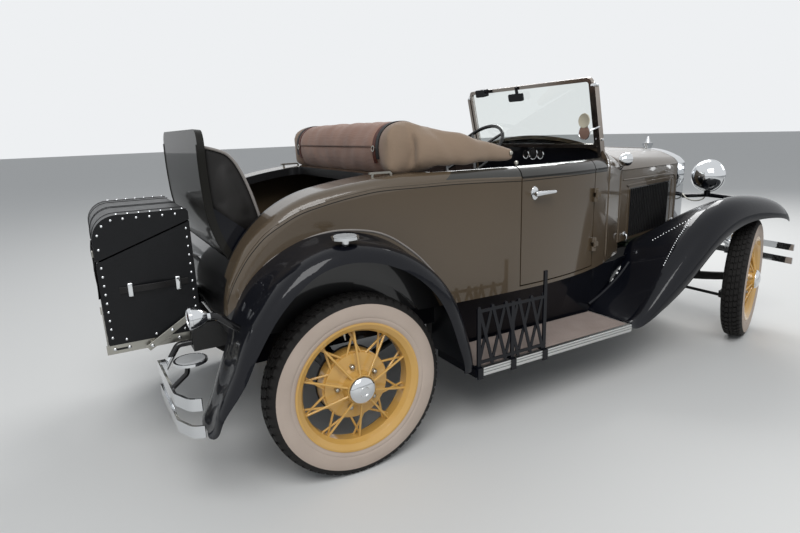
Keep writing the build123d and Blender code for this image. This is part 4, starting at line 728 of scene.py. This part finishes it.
def make_tyre(name, place, out, body):
    """Carcass with a wide white sidewall outside, then a ring of tread lugs."""
    carcass = turned(name, TYRE_OUTLINE, place, out, [TYRE, WHITEWALL], body, 96, TYRE_KINDS, 50)
    side = out.orthogonal().normalized()
    other = out.cross(side)
    verts, faces = [], []

    def lug(angle, spread, corners):
        """One block of tread: corners are (along, top radius, foot radius, lead)."""
        start = len(verts)
        for along, top, foot, lead in corners:
            for way in (-1, 1):
                turn = angle + way * spread + lead
                verts.append(round_about(place + out * mm(along), side, other, turn, foot))
                verts.append(round_about(place + out * mm(along), side, other, turn, top))
        for j in range(len(corners) - 1):
            p, q = start + 4 * j, start + 4 * (j + 1)
            faces.append((p + 1, p + 3, q + 3, q + 1))
            faces.append((p, p + 1, q + 1, q))
            faces.append((p + 3, p + 2, q + 2, q + 3))
        faces.append((start, start + 2, start + 3, start + 1))
        end = start + 4 * (len(corners) - 1)
        faces.append((end, end + 1, end + 3, end + 2))

    pitch = 2 * math.pi / TREAD_LUGS
    for i in range(TREAD_LUGS):
        for way in (-1, 1):
            angle = i * pitch + (pitch / 2 if way > 0 else 0)
            lug(angle, pitch * 0.34, [(way * along, top, foot, 0) for along, top, foot in SHOULDER_LUG])
            lug(angle + pitch * 0.25, pitch * 0.36,
                [(way * along, top, foot, way * lead) for along, top, foot, lead in INNER_LUG])
        lug(i * pitch, pitch * 0.42, MIDDLE_LUG)
    mesh = mesh_of(name + "_tread", verts, faces)
    tidy_normals(mesh)
    piece(name + "_tread", mesh, TYRE, body, 0)
    return carcass


def dress_wheel(end, side_name, side):
    """A whitewall tyre, a domed hub cap, the nuts round it and a valve stem."""
    place, out = wheel_place(side, end == "front")
    body = f"wheel_{end}_{side_name}"
    tyre = make_tyre(f"whitewall_{end}_{side_name}", place, out, body)
    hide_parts(f"tyre_{end}_{side_name}")
    turned(f"hub_cap_{end}_{side_name}", HUB_CAP_OUTLINE, place, out, CHROME, body)
    across = out.orthogonal().normalized()
    other = out.cross(across)
    nuts = []
    for i in range(WHEEL_NUTS):
        centre = round_about(place, across, other, 2 * math.pi * (i + 0.3) / WHEEL_NUTS, NUT_CIRCLE_R)
        nuts.append(turned(f"nut_{i}", NUT_OUTLINE, centre, out, NICKEL, body, 6))
    join(f"wheel_nuts_{end}_{side_name}", nuts)
    down = across * math.cos(VALVE_ANGLE) + other * math.sin(VALVE_ANGLE)
    root = place + down * mm(232) + out * mm(12)
    turned(f"valve_stem_{end}_{side_name}", VALVE_OUTLINE, root, down, NICKEL, body, 14)


# Mouldings, stripes and trim of the body

# Lines on the side of the car as (x, z): the belt's moulding, the crown of the rear fender, the frame round
# the louvres and the ledge of the hood
MOULD_LINE = [(855, 1099), (640, 1107), (493, 1110), (350, 1109), (189, 1107), (100, 1097), (20, 1083),
              (-57, 1066), (-132, 1045), (-195, 1014), (-257, 975), (-299, 935), (-333, 894), (-360, 852),
              (-384, 808), (-403, 760), (-410, 733)]
FENDER_LINE = [(-374, 738), (-333, 796), (-258, 867), (-183, 908), (-106, 940), (-28, 955), (51, 954),
               (133, 941), (195, 919), (258, 880), (342, 809), (433, 703)]
LOUVRE_FRAME_LINE = [(1910, 672), (1909, 940), (1914, 962), (1934, 968), (2470, 968), (2490, 962),
                     (2496, 940), (2496, 672)]
HOOD_LEDGE_LINE = [(1840, 1004), (2100, 1000), (2440, 996), (2516, 985), (2545, 960), (2552, 900),
                   (2553, 690)]

# The door handle's lever by its sections: station, half height, half depth and lift
LEVER_ROWS = ((914, 9.5, 7.5, 0), (917, 11.5, 9.0, 0), (930, 12.5, 9.4, 0), (960, 11, 8.6, 1),
              (1000, 9.6, 8.2, 1.5), (1026, 8.9, 8.0, 2), (1033, 7.0, 6.5, 2), (1035, 3.0, 3.0, 2))
HINGE_OUTLINE = [(0, 24), (4, 24), (8.4, 20), (8.4, 1), (7.6, 0), (8.4, -1), (8.4, -20), (4, -24), (0, -24)]

# Rolled foot of the apron as (x, off the middle, z), and the rows of shield rivets by their ends and number
APRON_ROLL = ((1470, 552, 372), (1560, 549, 406), (1644, 547, 449), (1720, 546, 498), (1789, 543, 556))
RIVET_ROWS = (((1939, 575, 670), (2079, 703, 791), 15), ((1800, 750, 580), (1942, 723, 698), 13),
              ((1955, 721, 708), (2038, 715, 768), 8))


def dress_body():
    """Belt mouldings with a thin painted shadow line under them, the welt above the rear fender, and the beads
    round the cowl.
    """
    rear = Skin("rear_body")
    cowl = Skin("cowl")
    moulding = flat(mm(9), mm(3.2), -mm(0.6))
    # 15 mm under each belt moulding runs a thin near-black line: painted shade, for the shadow line the moulding
    # casts on the skin
    shadow_line = flat(mm(3.2), mm(0.8), -mm(0.3))
    for side, side_name in SIDE_NAMES:
        door = Skin(f"door_{side_name}")
        for name, drop, section in (("belt_moulding", 0, moulding), ("belt_shadow_line", -15, shadow_line)):
            runs = ((rear, "rear", MOULD_LINE, "chassis"),
                    (door, "door", [(863, 1099), (1100, 1099), (1399, 1098)], f"door_{side_name}"),
                    (cowl, "cowl", [(1407, 1098), (1480, 1097), (1548, 1096)], "chassis"))
            for skin, part, points, body in runs:
                finish = TAUPE if name == "belt_moulding" and part == "rear" else BELT_AND_SHADE_BLACK
                line = [(x, z + drop) for x, z in points]
                skin.lay(f"{name}_{part}_{side_name}", line, section, side, finish, body)
        welt = rear.lay(f"fender_welt_{side_name}", FENDER_LINE, circle(mm(4.2), 10), side, PIPING, "chassis")
    for name, x, reach, radius in (("hood_rest_bead", 1806, 119, 5.0), ("dash_bead", 1586, 128, 4.2)):
        points, outs = cowl.hoop(x, 900, reach)
        sweep(name, points, circle(mm(radius), 10), TAUPE, "chassis", sides=outs)


def dress_hood():
    """A pressed frame round each louvred field, and the latches at the foot of the hood."""
    for side, side_name in SIDE_NAMES:
        body = f"hood_side_{side_name}"
        skin = Skin(body)
        out = Vector((0, side, 0))
        bead = flat(mm(11), mm(3.4), -mm(1.0))
        skin.lay(f"louvre_frame_{side_name}", LOUVRE_FRAME_LINE, bead, side, TAUPE, body)
        skin.lay(f"hood_ledge_{side_name}", HOOD_LEDGE_LINE, circle(mm(4.0), 10), side, TAUPE, body)
        for number, x in enumerate((1885, 2528)):
            foot = skin.side(x, 690, side)[0]
            plate = turned("plate", [(0, 6), (9, 6), (13, 4), (14, 0)], foot, out, CHROME, body, 24)
            path = [foot + out * mm(reach) - Vector((0, 0, mm(drop)))
                    for reach, drop in ((4, 0), (17, 4), (20, 20), (15, 38))]
            grip = tube("grip", smooth_path(path, 0.004), 4.4, CHROME, body)
            join(f"hood_latch_{side_name}_{number}", [plate, grip])


def dress_doors():
    """Plated lever handles on oval plates, over the plain levers of the doors, and the hinges' barrels."""
    for side, side_name in SIDE_NAMES:
        body = f"door_{side_name}"
        out = Vector((0, side, 0))
        foot = Skin(body).side(935, 1048, side)[0] + Vector((0, 0, -mm(23)))
        plate = turned("plate", [(0, 5), (15, 5), (19, 3.6), (21, 0), (20, -6)], foot, out, CHROME, body, 32)
        for vert in plate.data.vertices:
            vert.co.z = foot.z + (vert.co.z - foot.z) * 1.5
        outline = [(0, 34), (10.4, 34), (11, 22), (10.4, 10), (14, 2), (14, 0)]
        neck = turned("neck", outline, foot, out, CHROME, body, 32)
        ring = 16
        verts = []
        for x, tall, deep, lift in LEVER_ROWS:
            for i in range(ring):
                angle = 2 * math.pi * i / ring
                y = side * 720 + side * deep * math.cos(angle)
                verts.append(at(x, y, 1025 + lift + tall * math.sin(angle)))
        faces = between_rings(0, len(LEVER_ROWS), ring)
        faces += [tuple(range(ring)), tuple(range(len(verts) - ring, len(verts)))[::-1]]
        mesh = mesh_of("lever", verts, faces)
        tidy_normals(mesh)
        join(f"door_handle_{side_name}", [plate, neck, piece("lever", mesh, CHROME, body)])
        barrels = [turned("barrel", HINGE_OUTLINE, at(1400, side * y, z), (0, 0, 1), TAUPE, "chassis", 24)
                   for y, z in ((634, 980), (635, 730))]
        join(f"hinge_barrels_{side_name}", barrels)


def dress_boards():
    """Ribbed matting and aluminium edges on the running boards, and the rolled foot of the apron."""
    for side, side_name in SIDE_NAMES:
        block(f"board_mat_{side_name}", (524, side * 565, 335), (1462, side * 812, 338), MAT, "chassis", 1.2)
        ribs = []
        for number in range(20):
            y = side * (577 + number * 12)
            ribs.append(block("rib", (528, y - 2.2, 337.5), (1458, y + 2.2, 339.6), MAT, "chassis", 0))
        join(f"board_ribs_{side_name}", ribs)
        edges = [block("edge", (524, side * 812, low), (1468, side * 834.5, high), ALUMINIUM, "chassis", 2.2)
                 for low, high in ((331, 339.4), (318, 329), (303, 316))]
        join(f"board_edge_{side_name}", edges)
        inner = [at(x, side * y, z) for x, y, z in APRON_ROLL]
        tube(f"fender_inner_roll_{side_name}", smooth_path(inner), 11, BLACK, "chassis")


def dress_fenders():
    """Rows of small rivets where the front fenders meet their splash shields."""
    shield = Skin("front_fenders")
    for side, side_name in SIDE_NAMES:
        places = []
        for start, end, count in RIVET_ROWS:
            for number in range(count):
                share = number / (count - 1)
                x, y, z = (a + (b - a) * share for a, b in zip(start, end))
                places.append(shield.nearest(at(x, side * y, z), (-0.6, side, 0.3)))
        domes(f"shield_rivets_{side_name}", places, 4.2, 3.2, CHROME, "chassis")


# Trunk and its rack

TRUNK_FRONT, TRUNK_REAR, TRUNK_LOW, TRUNK_HIGH, TRUNK_ROUND = -472, -806, 566, 1051, 85
# The side handle as (x, off the trunk's end, z), and a hanging thong as (off its back, off the middle, z)
TRUNK_HANDLE = ((-746, 1.5, 772), (-708, 4, 772), (-660, 15, 774), (-624, 19, 775), (-588, 15, 775),
                (-540, 4, 774), (-503, 1.5, 774))
TRUNK_THONG = ((1, 262, 886), (4, 262, 868), (7, 264, 840), (5, 259, 792), (7, 263, 742))


def trunk_split(x):
    """Height of the slanted joint between trunk and lid."""
    return 1011 - (x + 465) / (TRUNK_REAR + 465) * 125


def trunk_profile():
    """The trunk's outline seen from its side, from the front top over the rounded edge and down its back."""
    x1, z1, r = TRUNK_REAR, TRUNK_HIGH, TRUNK_ROUND
    line = [(x, z1) for x in (TRUNK_FRONT - 4, -560, -640, x1 + r)]
    for i in range(1, 9):
        a = math.pi / 2 * i / 8
        line.append((x1 + r - r * math.sin(a), z1 - r + r * math.cos(a)))
    return line + [(x1, 930), (x1, trunk_split(x1) + 8)]


def stud_line():
    """Stations (x, z) of the studs round the trunk's end: up its front, over the top, down its back and along
    its foot."""
    x0, x1, z0, z1, r = TRUNK_FRONT, TRUNK_REAR, TRUNK_LOW, TRUNK_HIGH, TRUNK_ROUND
    inset = 14
    foot, crown, front = z0 + 30, z1 - inset - 24, x0 - inset - 10
    line = [(x0 - inset, foot + (crown - foot) * i / 12) for i in range(13)]
    line += [(front - (front - (x1 + r)) * (i - 0.5) / 5, z1 - inset) for i in range(1, 6)]
    for i in range(1, 4):
        a = math.pi / 2 * (i - 0.5) / 3
        line.append((x1 + r - (r - inset) * math.sin(a), z1 - r + (r - inset) * math.cos(a)))
    line += [(x1 + inset, z1 - r - (z1 - r - foot) * i / 11) for i in range(1, 12)]
    return line + [(x1 + along, z0 + 16) for along in (60, 165, 270)]


def dress_trunk():
    """Round-headed studs, binding strips over the lid, side handles, thongs and straps."""
    studs = {"chassis": [], "trunk_lid": []}
    for x, z in stud_line():
        for side in (RIGHT, LEFT):
            if abs(z - trunk_split(x)) > 12:
                body = "trunk_lid" if z > trunk_split(x) else "chassis"
                studs[body].append((at(x, side * 300.5, z), (0, side, 0)))
    for side in (RIGHT, LEFT):
        for i in range(7):
            studs["trunk_lid"].append((at(TRUNK_FRONT - 18 - i * 38, side * 287, TRUNK_HIGH + 3), (0, 0, 1)))
    domes("trunk_studs", studs["chassis"], 5.4, 3.6, CHROME, "chassis")
    domes("trunk_lid_studs", studs["trunk_lid"], 5.4, 3.6, CHROME, "trunk_lid")
    turns = [math.pi / 2 * i / 8 for i in range(1, 9)]
    outs = [Vector((0, 0, 1))] * 4 + [Vector((-math.sin(a), 0, math.cos(a))) for a in turns] + [REARWARD] * 2
    strips = []
    for y, width in ((-287, 25), (-205, 8), (-18, 8), (18, 8), (205, 8), (287, 25)):
        path = [at(x, y, z) for x, z in trunk_profile()]
        strips.append(sweep("strip", path, flat(mm(width), mm(2.4), -mm(0.4)), TRUNK, "trunk_lid", sides=outs))
    join("trunk_binding_strips", strips)
    x1, thong = TRUNK_REAR, flat(mm(10), mm(3), -mm(1))
    for side, side_name in SIDE_NAMES:
        y = side * 300
        loops = [block("loop", (x - 10, y, 745), (x + 10, y + side * 14, 799), CHROME, "chassis", 6, 4)
                 for x in (-708, -540)]
        join(f"handle_loops_{side_name}", loops)
        path = smooth_path([at(x, y + side * reach, z) for x, reach, z in TRUNK_HANDLE], 0.01)
        sweep(f"trunk_handle_{side_name}", path, flat(mm(25), mm(5), -mm(1)), THONG, "chassis",
              sides=[Vector((0, side, 0))] * len(path))
        path = [at(x1 - off, side * 262, z) for off, z in ((1, 936), (2, 912), (2, 893))]
        sweep(f"trunk_thong_tab_{side_name}", path, thong, THONG, "trunk_lid", sides=[REARWARD] * 3)
        path = smooth_path([at(x1 - off, side * across, z) for off, across, z in TRUNK_THONG])
        sweep(f"trunk_thong_{side_name}", path, thong, THONG, "chassis")
        path = [at(x1, side * 287, z) for z in (trunk_split(x1) - 8, 700, TRUNK_LOW + 6)]
        sweep(f"trunk_corner_binding_{side_name}", path, flat(mm(24), mm(3), -mm(0.4)), TRUNK, "chassis",
              sides=[REARWARD] * 3)
    strap = flat(mm(24), mm(3), mm(0.2))
    for number, y in enumerate((-190, 190)):
        path = [at(x1, y, TRUNK_LOW + 10), at(x1 - 1, y, 700), at(x1 - 2, y, 872)]
        sweep(f"trunk_strap_low_{number}", path, strap, THONG, "chassis", sides=[REARWARD] * 3)
        block(f"trunk_buckle_{number}", (x1 - 9, y - 19, 822), (x1 - 1, y + 19, 850), NICKEL, "chassis", 2.5)


def dress_rack():
    """Flat braces, slots and rivets of the luggage rack under the trunk."""
    places, braces, slots = [], [], []
    for side in (RIGHT, LEFT):
        out = Vector((0, side, 0))
        places += [(at(x, side * 296, 548), out) for x in (-790, -740, -560)]
        places += [(at(x, side * 317, z), out) for x, z in ((-662, 543), (-584, 590), (-526, 626))]
        braces.append(sweep("brace", [at(-678, side * 314, 533), at(-512, side * 314, 634)],
                            flat(mm(24), mm(3), mm(0.2)), NICKEL, "chassis", sides=[out] * 2))
        slots.append(block("slot", (-784, side * 296 - 0.8, 543), (-746, side * 296 + 0.8, 551), BLACK_RUBBER,
                           "chassis", 0.4, 1))
    join("rack_braces", braces)
    join("rack_slots", slots)
    domes("rack_rivets", places, 7, 4, CHROME, "chassis")


# Seats, folded top and rumble lid

# Frames that a stuffed piece swells for, and the width and the rows of the canvas boot's flap
SWELL_FRAMES = 20
FLAP_WIDTH, FLAP_ROWS = 872, 60
# Metres off the middle: where the straps draw the canvas in, and where the creases of the arms begin
STRAP_Y, ARM_FROM_Y = 0.458, 0.55
# The edge of the rumble seat's back as (x, z), from its top down
SEAT_BACK_EDGE = [(-418, 1284), (-345, 1262), (-309, 1236), (-276, 1178), (-246, 1095), (-221, 1000),
                  (-211, 952)]


def take_form(obj):
    """Settle a piece's modifiers into its mesh."""
    shape = bpy.data.meshes.new_from_object(obj.evaluated_get(bpy.context.evaluated_depsgraph_get()))
    obj.modifiers.clear()
    obj.data = shape


def upholster(name, node, voxel, pressure, limit, pinch, material, body):
    """A stuffed piece in place of a CAD solid: remeshed evenly, swelled as cloth and drawn in at its seams."""
    scene = bpy.context.scene
    obj = bpy.data.objects.new(name, nodes[node].data.copy())
    scene.collection.objects.link(obj)
    obj.data.materials.clear()
    even = obj.modifiers.new("even_faces", "REMESH")
    even.mode = "VOXEL"
    even.voxel_size = mm(voxel)
    take_form(obj)
    start = [vert.co.copy() for vert in obj.data.vertices]
    cloth = obj.modifiers.new("stuffing", "CLOTH")
    cloth.settings.use_pressure = True
    cloth.settings.uniform_pressure_force = pressure
    cloth.settings.effector_weights.gravity = 0
    for number in range(1, SWELL_FRAMES + 1):
        scene.frame_set(number)
    take_form(obj)
    scene.frame_set(1)
    for vert, first in zip(obj.data.vertices, start):
        move = vert.co - first
        if move.length > mm(limit):
            vert.co = first + move.normalized() * mm(limit)
    ease = obj.modifiers.new("ease", "SMOOTH")
    ease.iterations = 6
    take_form(obj)
    normals = [vert.normal.copy() for vert in obj.data.vertices]
    for vert, normal in zip(obj.data.vertices, normals):
        vert.co -= normal * mm(pinch(vert.co, normal))
    obj.data.materials.append(material)
    for polygon in obj.data.polygons:
        polygon.use_smooth = True
    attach(obj, body)
    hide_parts(node)
    return obj


def groove(value, pitch, width):
    """How deep a sewn channel is at a place: 1 in the seam, 0 away from it."""
    off = abs((value / pitch + 0.5) % 1 - 0.5) * pitch
    return max(0.0, 1 - off / width) ** 1.5


def pleated(pitch, depth):
    """Channels running fore and aft or up and down, that fade out at the sides."""
    def pinch(place, normal):
        return depth * groove(place.y, pitch, 0.016) if abs(normal.y) < 0.6 else 0
    return pinch


def boot_folds(place, _):
    """Slack folds of the canvas in millimetres: long soft valleys, a draw where the straps hold it, and one
    crease over each arm."""
    x, y, z = place.x, abs(place.y), place.z
    across = 2.2 * math.sin(23 * y + 9 * x) * math.sin(31 * z + 7 * y)
    fine = 0.9 * math.sin(61 * y - 35 * z + 20 * x)
    if y < ARM_FROM_Y:
        hold = 7 * max(0.0, 1 - abs(y - STRAP_Y) / 0.05)
        return 4 + across + fine + hold
    crease = x - place_x(435) - (1.304 - z) * 0.63
    ridge = 2.5 * math.exp(-(crease / 0.02) ** 2)
    valley = 3 * math.exp(-((crease - 0.038) / 0.022) ** 2)
    draw = 3 * math.exp(-((crease - 0.21) / 0.03) ** 2)
    return 4 + across + fine - ridge + valley + draw


def dress_seats():
    """The pleated front bench, and the cushion and back of the rumble seat."""
    upholster("front_seat_upholstery", "front_seat", 14, 4, 14, pleated(0.075, 7), SEAT, "chassis")
    upholster("rumble_seat_cushion", "rumble_cushion", 12, 4, 12, pleated(0.075, 6), SEAT, "chassis")
    upholster("rumble_seat_back", "rumble_back", 9, 4, 8, pleated(0.098, 5), SEAT, "rumble_lid")


def dress_boot():
    """The folded top in its canvas boot, with its outer flap, the straps round it, buckles and snaps."""
    boot = upholster("folded_top_boot", "top_boot", 12, 3, 12, boot_folds, CANVAS, "chassis")
    verts = [vert.co.copy() for vert in boot.data.vertices]
    tree = BVHTree.FromPolygons(verts, [list(polygon.vertices) for polygon in boot.data.polygons])

    def around(y, first, last, proud, count):
        """Places on the boot round the roll at one station, from the front over the top to the rear foot."""
        points, outs = [], []
        middle = at(375, y, 1235)
        for number in range(count + 1):
            angle = math.radians(first + (last - first) * number / count)
            way = Vector((math.cos(angle), 0, math.sin(angle)))
            place, _, _, _ = tree.ray_cast(middle + way, -way)
            if place is not None:
                points.append(place + way * mm(proud))
                outs.append(way)
        return points, outs

    rows = [around(-FLAP_WIDTH / 2 + number * FLAP_WIDTH / FLAP_ROWS, 30, 171, 2.2, 36)[0]
            for number in range(FLAP_ROWS + 1)]
    width = min(len(row) for row in rows)
    outer = [p for row in rows for p in row[:width]]
    faces = [(a * width + b, a * width + b + 1, (a + 1) * width + b + 1, (a + 1) * width + b)
             for a in range(FLAP_ROWS) for b in range(width - 1)]
    flap = piece("boot_flap", mesh_of("boot_flap", outer, faces), CANVAS, "chassis", 60)
    thick = flap.modifiers.new("cloth_thickness", "SOLIDIFY")
    thick.thickness = mm(1.2)
    thick.offset = 0
    take_form(flap)
    fittings = []
    wraps = ((-446, 20, 205), (-474, 40, 196), (446, 20, 205), (474, 40, 196))
    for number, (y, first, last) in enumerate(wraps):
        points, outs = around(y, first, last, 4.5, 48)
        buckled = number % 2 == 0
        sweep(f"boot_strap_{number}", points, flat(mm(24), mm(3.2)), STRAP if buckled else THONG, "chassis",
              sides=outs)
        if buckled:
            spot, out = points[40], outs[40]
            outline = [(9, 2), (13, 2), (13, 5), (9, 5), (9, 2)]
            fittings.append(turned("buckle", outline, spot + out * mm(2), out, NICKEL, "chassis", 20))
    for side in (RIGHT, LEFT):
        snap, button = at(838, side * 637, 1205), at(884, side * 622, 1150)
        outline = [(0, 8), (6, 7.4), (9, 5), (9, -3)]
        fittings.append(turned("snap", outline, snap, (0, side, 0), NICKEL, "chassis", 20))
        outline = [(0, 18), (7, 17), (9, 12), (9, 4), (5, 2), (5, -8)]
        fittings.append(turned("turn_button", outline, button, (0, 0, 1), NICKEL, "chassis", 20))
    join("boot_buckles", fittings)


def dress_lid():
    """Edge beading of the open lid, and the pale piping round the seat back."""
    lid = Skin("rumble_lid")
    for side, side_name in SIDE_NAMES:
        hits = [lid.hit(at(-900, side * 416, 760 + number * 13.6), -REARWARD)[0] for number in range(40)]
        points = [place for place in hits if place is not None]
        if len(points) > 4:
            sweep(f"lid_edge_bead_{side_name}", points, circle(mm(3.6), 8), BELT_AND_SHADE_BLACK, "rumble_lid")
    for side, side_name in SIDE_NAMES:
        path = smooth_path([at(x, side * 388, z) for x, z in SEAT_BACK_EDGE])
        tube(f"seat_back_piping_{side_name}", path, 5.5, PIPING, "rumble_lid")


# Lamps, windscreen, dials and steps

# The headlamp's conduit as (x, off the middle, z), and outlines of the mirror's dish and the plaque
LAMP_CONDUIT = ((2652, 258, 852), (2660, 292, 818), (2676, 340, 806), (2690, 384, 822), (2697, 396, 858))
DISH_OUTLINE = [(0, 16), (18, 14), (32, 8), (37, 1), (37, -2), (34.5, -3), (33.6, -1.6), (0, -1.6)]
PLAQUE_OUTLINE = [(0, 4), (30, 4), (35, 2.5), (36, 0), (35, -2.2), (33, -2.6), (31, -1.6), (0, -1.6)]


def dress_lamps():
    """Red lenses in plated rims at the back, and the conduits that feed the headlamps."""
    for side, side_name in SIDE_NAMES:
        place = at(-572, side * 700, 740)
        outline = [(0, -3.4), (12, -3.0), (24, -1.6), (30, 0.6), (30, 2)]
        turned(f"tail_lens_{side_name}", outline, place, (1, 0, 0), RED_GLASS, "chassis", 40)
        outline = [(30, 1), (31, -3), (34.5, -4), (37.6, -1), (37.6, 7), (36, 8)]
        turned(f"tail_rim_{side_name}", outline, place, (1, 0, 0), CHROME, "chassis", 48)
        conduit = [at(x, side * y, z) for x, y, z in LAMP_CONDUIT]
        tube(f"lamp_conduit_{side_name}", smooth_path(conduit, 0.006), 4.2, NICKEL, "chassis")


def dress_screen():
    """Side mirror and a blank plaque on the right post, and the clamps of both posts."""
    base, top = Vector((1550, 0, 1196)), Vector((1477, 0, 1545))
    fittings = []
    for side in (RIGHT, LEFT):
        for share in (0.12, 0.88):
            spot = base + (top - base) * share
            fittings.append(turned("clamp", [(0, 22), (6, 21), (8, 16), (8, 6), (15, 4), (15, -14)],
                                   at(spot.x, side * 512, spot.z), (0, side, 0), CHROME, "chassis", 24))
    spot = base + (top - base) * 0.30
    head, upper = at(1418, -520, 1276), at(1412, -520, 1334)
    arm = [at(spot.x, -514, spot.z), at(spot.x - 40, -545, spot.z), head + Vector((mm(12), 0, 0))]
    stalk = [upper + Vector((mm(4), 0, 0)), upper + Vector((mm(10), 0, -mm(30))),
             head + Vector((mm(12), 0, mm(8)))]
    fittings.append(tube("arm", smooth_path(arm, 0.01), 4.5, CHROME, "chassis"))
    fittings.append(turned("dish", DISH_OUTLINE, head, (1, 0, 0), CHROME, "chassis", 48))
    fittings.append(tube("stalk", stalk, 3.5, CHROME, "chassis"))
    join("windscreen_clamps_and_mirror", fittings)
    turned("blank_plaque", PLAQUE_OUTLINE, upper, (1, 0, 0), PLAQUE, "chassis", 48)


def dress_panel():
    """Three round dials with plated rims on the instrument panel."""
    rims, faces = [], []
    for y, z, r in ((-62, 1150, 24), (0, 1156, 34), (62, 1150, 24)):
        place = at(1568, y, z)
        outline = [(r - 3, 1), (r - 3, 5), (r, 6), (r + 3, 3.5), (r + 3.6, -1)]
        rims.append(turned("rim", outline, place, REARWARD, CHROME, "chassis", 40))
        outline = [(0, 2.4), (r - 2, 2.4), (r - 2, -1)]
        faces.append(turned("face", outline, place, REARWARD, HARD_RUBBER, "chassis", 40))
    join("dial_rims", rims)
    join("dial_faces", faces)


def dress_steps():
    """Ribbed rubber treads on the round step plates."""
    for number, (x, y, z, r) in enumerate(((-36, 780, 962, 50), (-570, 600, 564, 57))):
        for side, side_name in SIDE_NAMES:
            outline = [(0, 1.8), (r - 10, 1.8), (r - 8, 0.6), (r - 8, -1)]
            parts = [turned("pad", outline, at(x, side * y, z), (0, 0, 1), STEP_RUBBER, "chassis", 48)]
            for i in range(-4, 5):
                across = side * y + i * 8.5
                half = math.sqrt(max(0, (r - 11) ** 2 - (i * 8.5) ** 2))
                if half > 6:
                    parts.append(block("rib", (x - half, across - 2, z + 1), (x + half, across + 2, z + 3.6),
                                       STEP_RUBBER, "chassis", 0))
            join(f"step_tread_{number}_{side_name}", parts)


def floor_and_sky():
    """A plain pale floor, an even pale sky, and two soft lamps."""
    mesh = mesh_of("studio_floor", [(-60, -60, 0), (60, -60, 0), (60, 60, 0), (-60, 60, 0)], [(0, 1, 2, 3)])
    floor = bpy.data.objects.new("studio_floor", mesh)
    bpy.context.scene.collection.objects.link(floor)
    made, _, shader, _ = start_material("pale_floor", roughness=0.9)
    shader.inputs["Base Color"].default_value = linear("#d8d8d6")
    mesh.materials.append(made)
    world = bpy.data.worlds.new("studio")
    bpy.context.scene.world = world
    world.use_nodes = True
    tree = world.node_tree
    path = add(tree, "ShaderNodeLightPath")
    seen = combine(tree, path.outputs["Is Camera Ray"], path.outputs["Is Transmission Ray"], "MAXIMUM")
    seen = combine(tree, seen, path.outputs["Is Glossy Ray"], "MAXIMUM")
    back = add(tree, "ShaderNodeBackground", {"Color": linear("#eef0f2"), "Strength": 1.0})
    light = add(tree, "ShaderNodeBackground", {"Color": linear("#dfe4ea"), "Strength": 0.5})
    mix = add(tree, "ShaderNodeMixShader", {}, {0: seen, 1: light.outputs[0], 2: back.outputs[0]})
    tree.links.new(mix.outputs[0], tree.nodes["World Output"].inputs["Surface"])
    area_lamp("key", (-3.0, -5.0, 6.5), (0, 0, 0.6), (5, 4), 400)
    area_lamp("rim", (4.5, 3.5, 5.0), (0, 0, 0.6), (4, 3), 300)


def main():
    """Light the studio, paint the CAD nodes and put every piece on the car."""
    set_camera()
    floor_and_sky()
    for finish, names in CAD_FINISHES:
        paint(finish, names)
    for end in ("front", "rear"):
        for side, side_name in SIDE_NAMES:
            dress_wheel(end, side_name, side)
    for dress in (dress_body, dress_hood, dress_doors, dress_boards, dress_fenders, dress_trunk, dress_rack,
                  dress_seats, dress_boot, dress_lid, dress_lamps, dress_screen, dress_panel, dress_steps):
        dress()


main()
bpy.context.scene.view_settings.view_transform = "Standard"
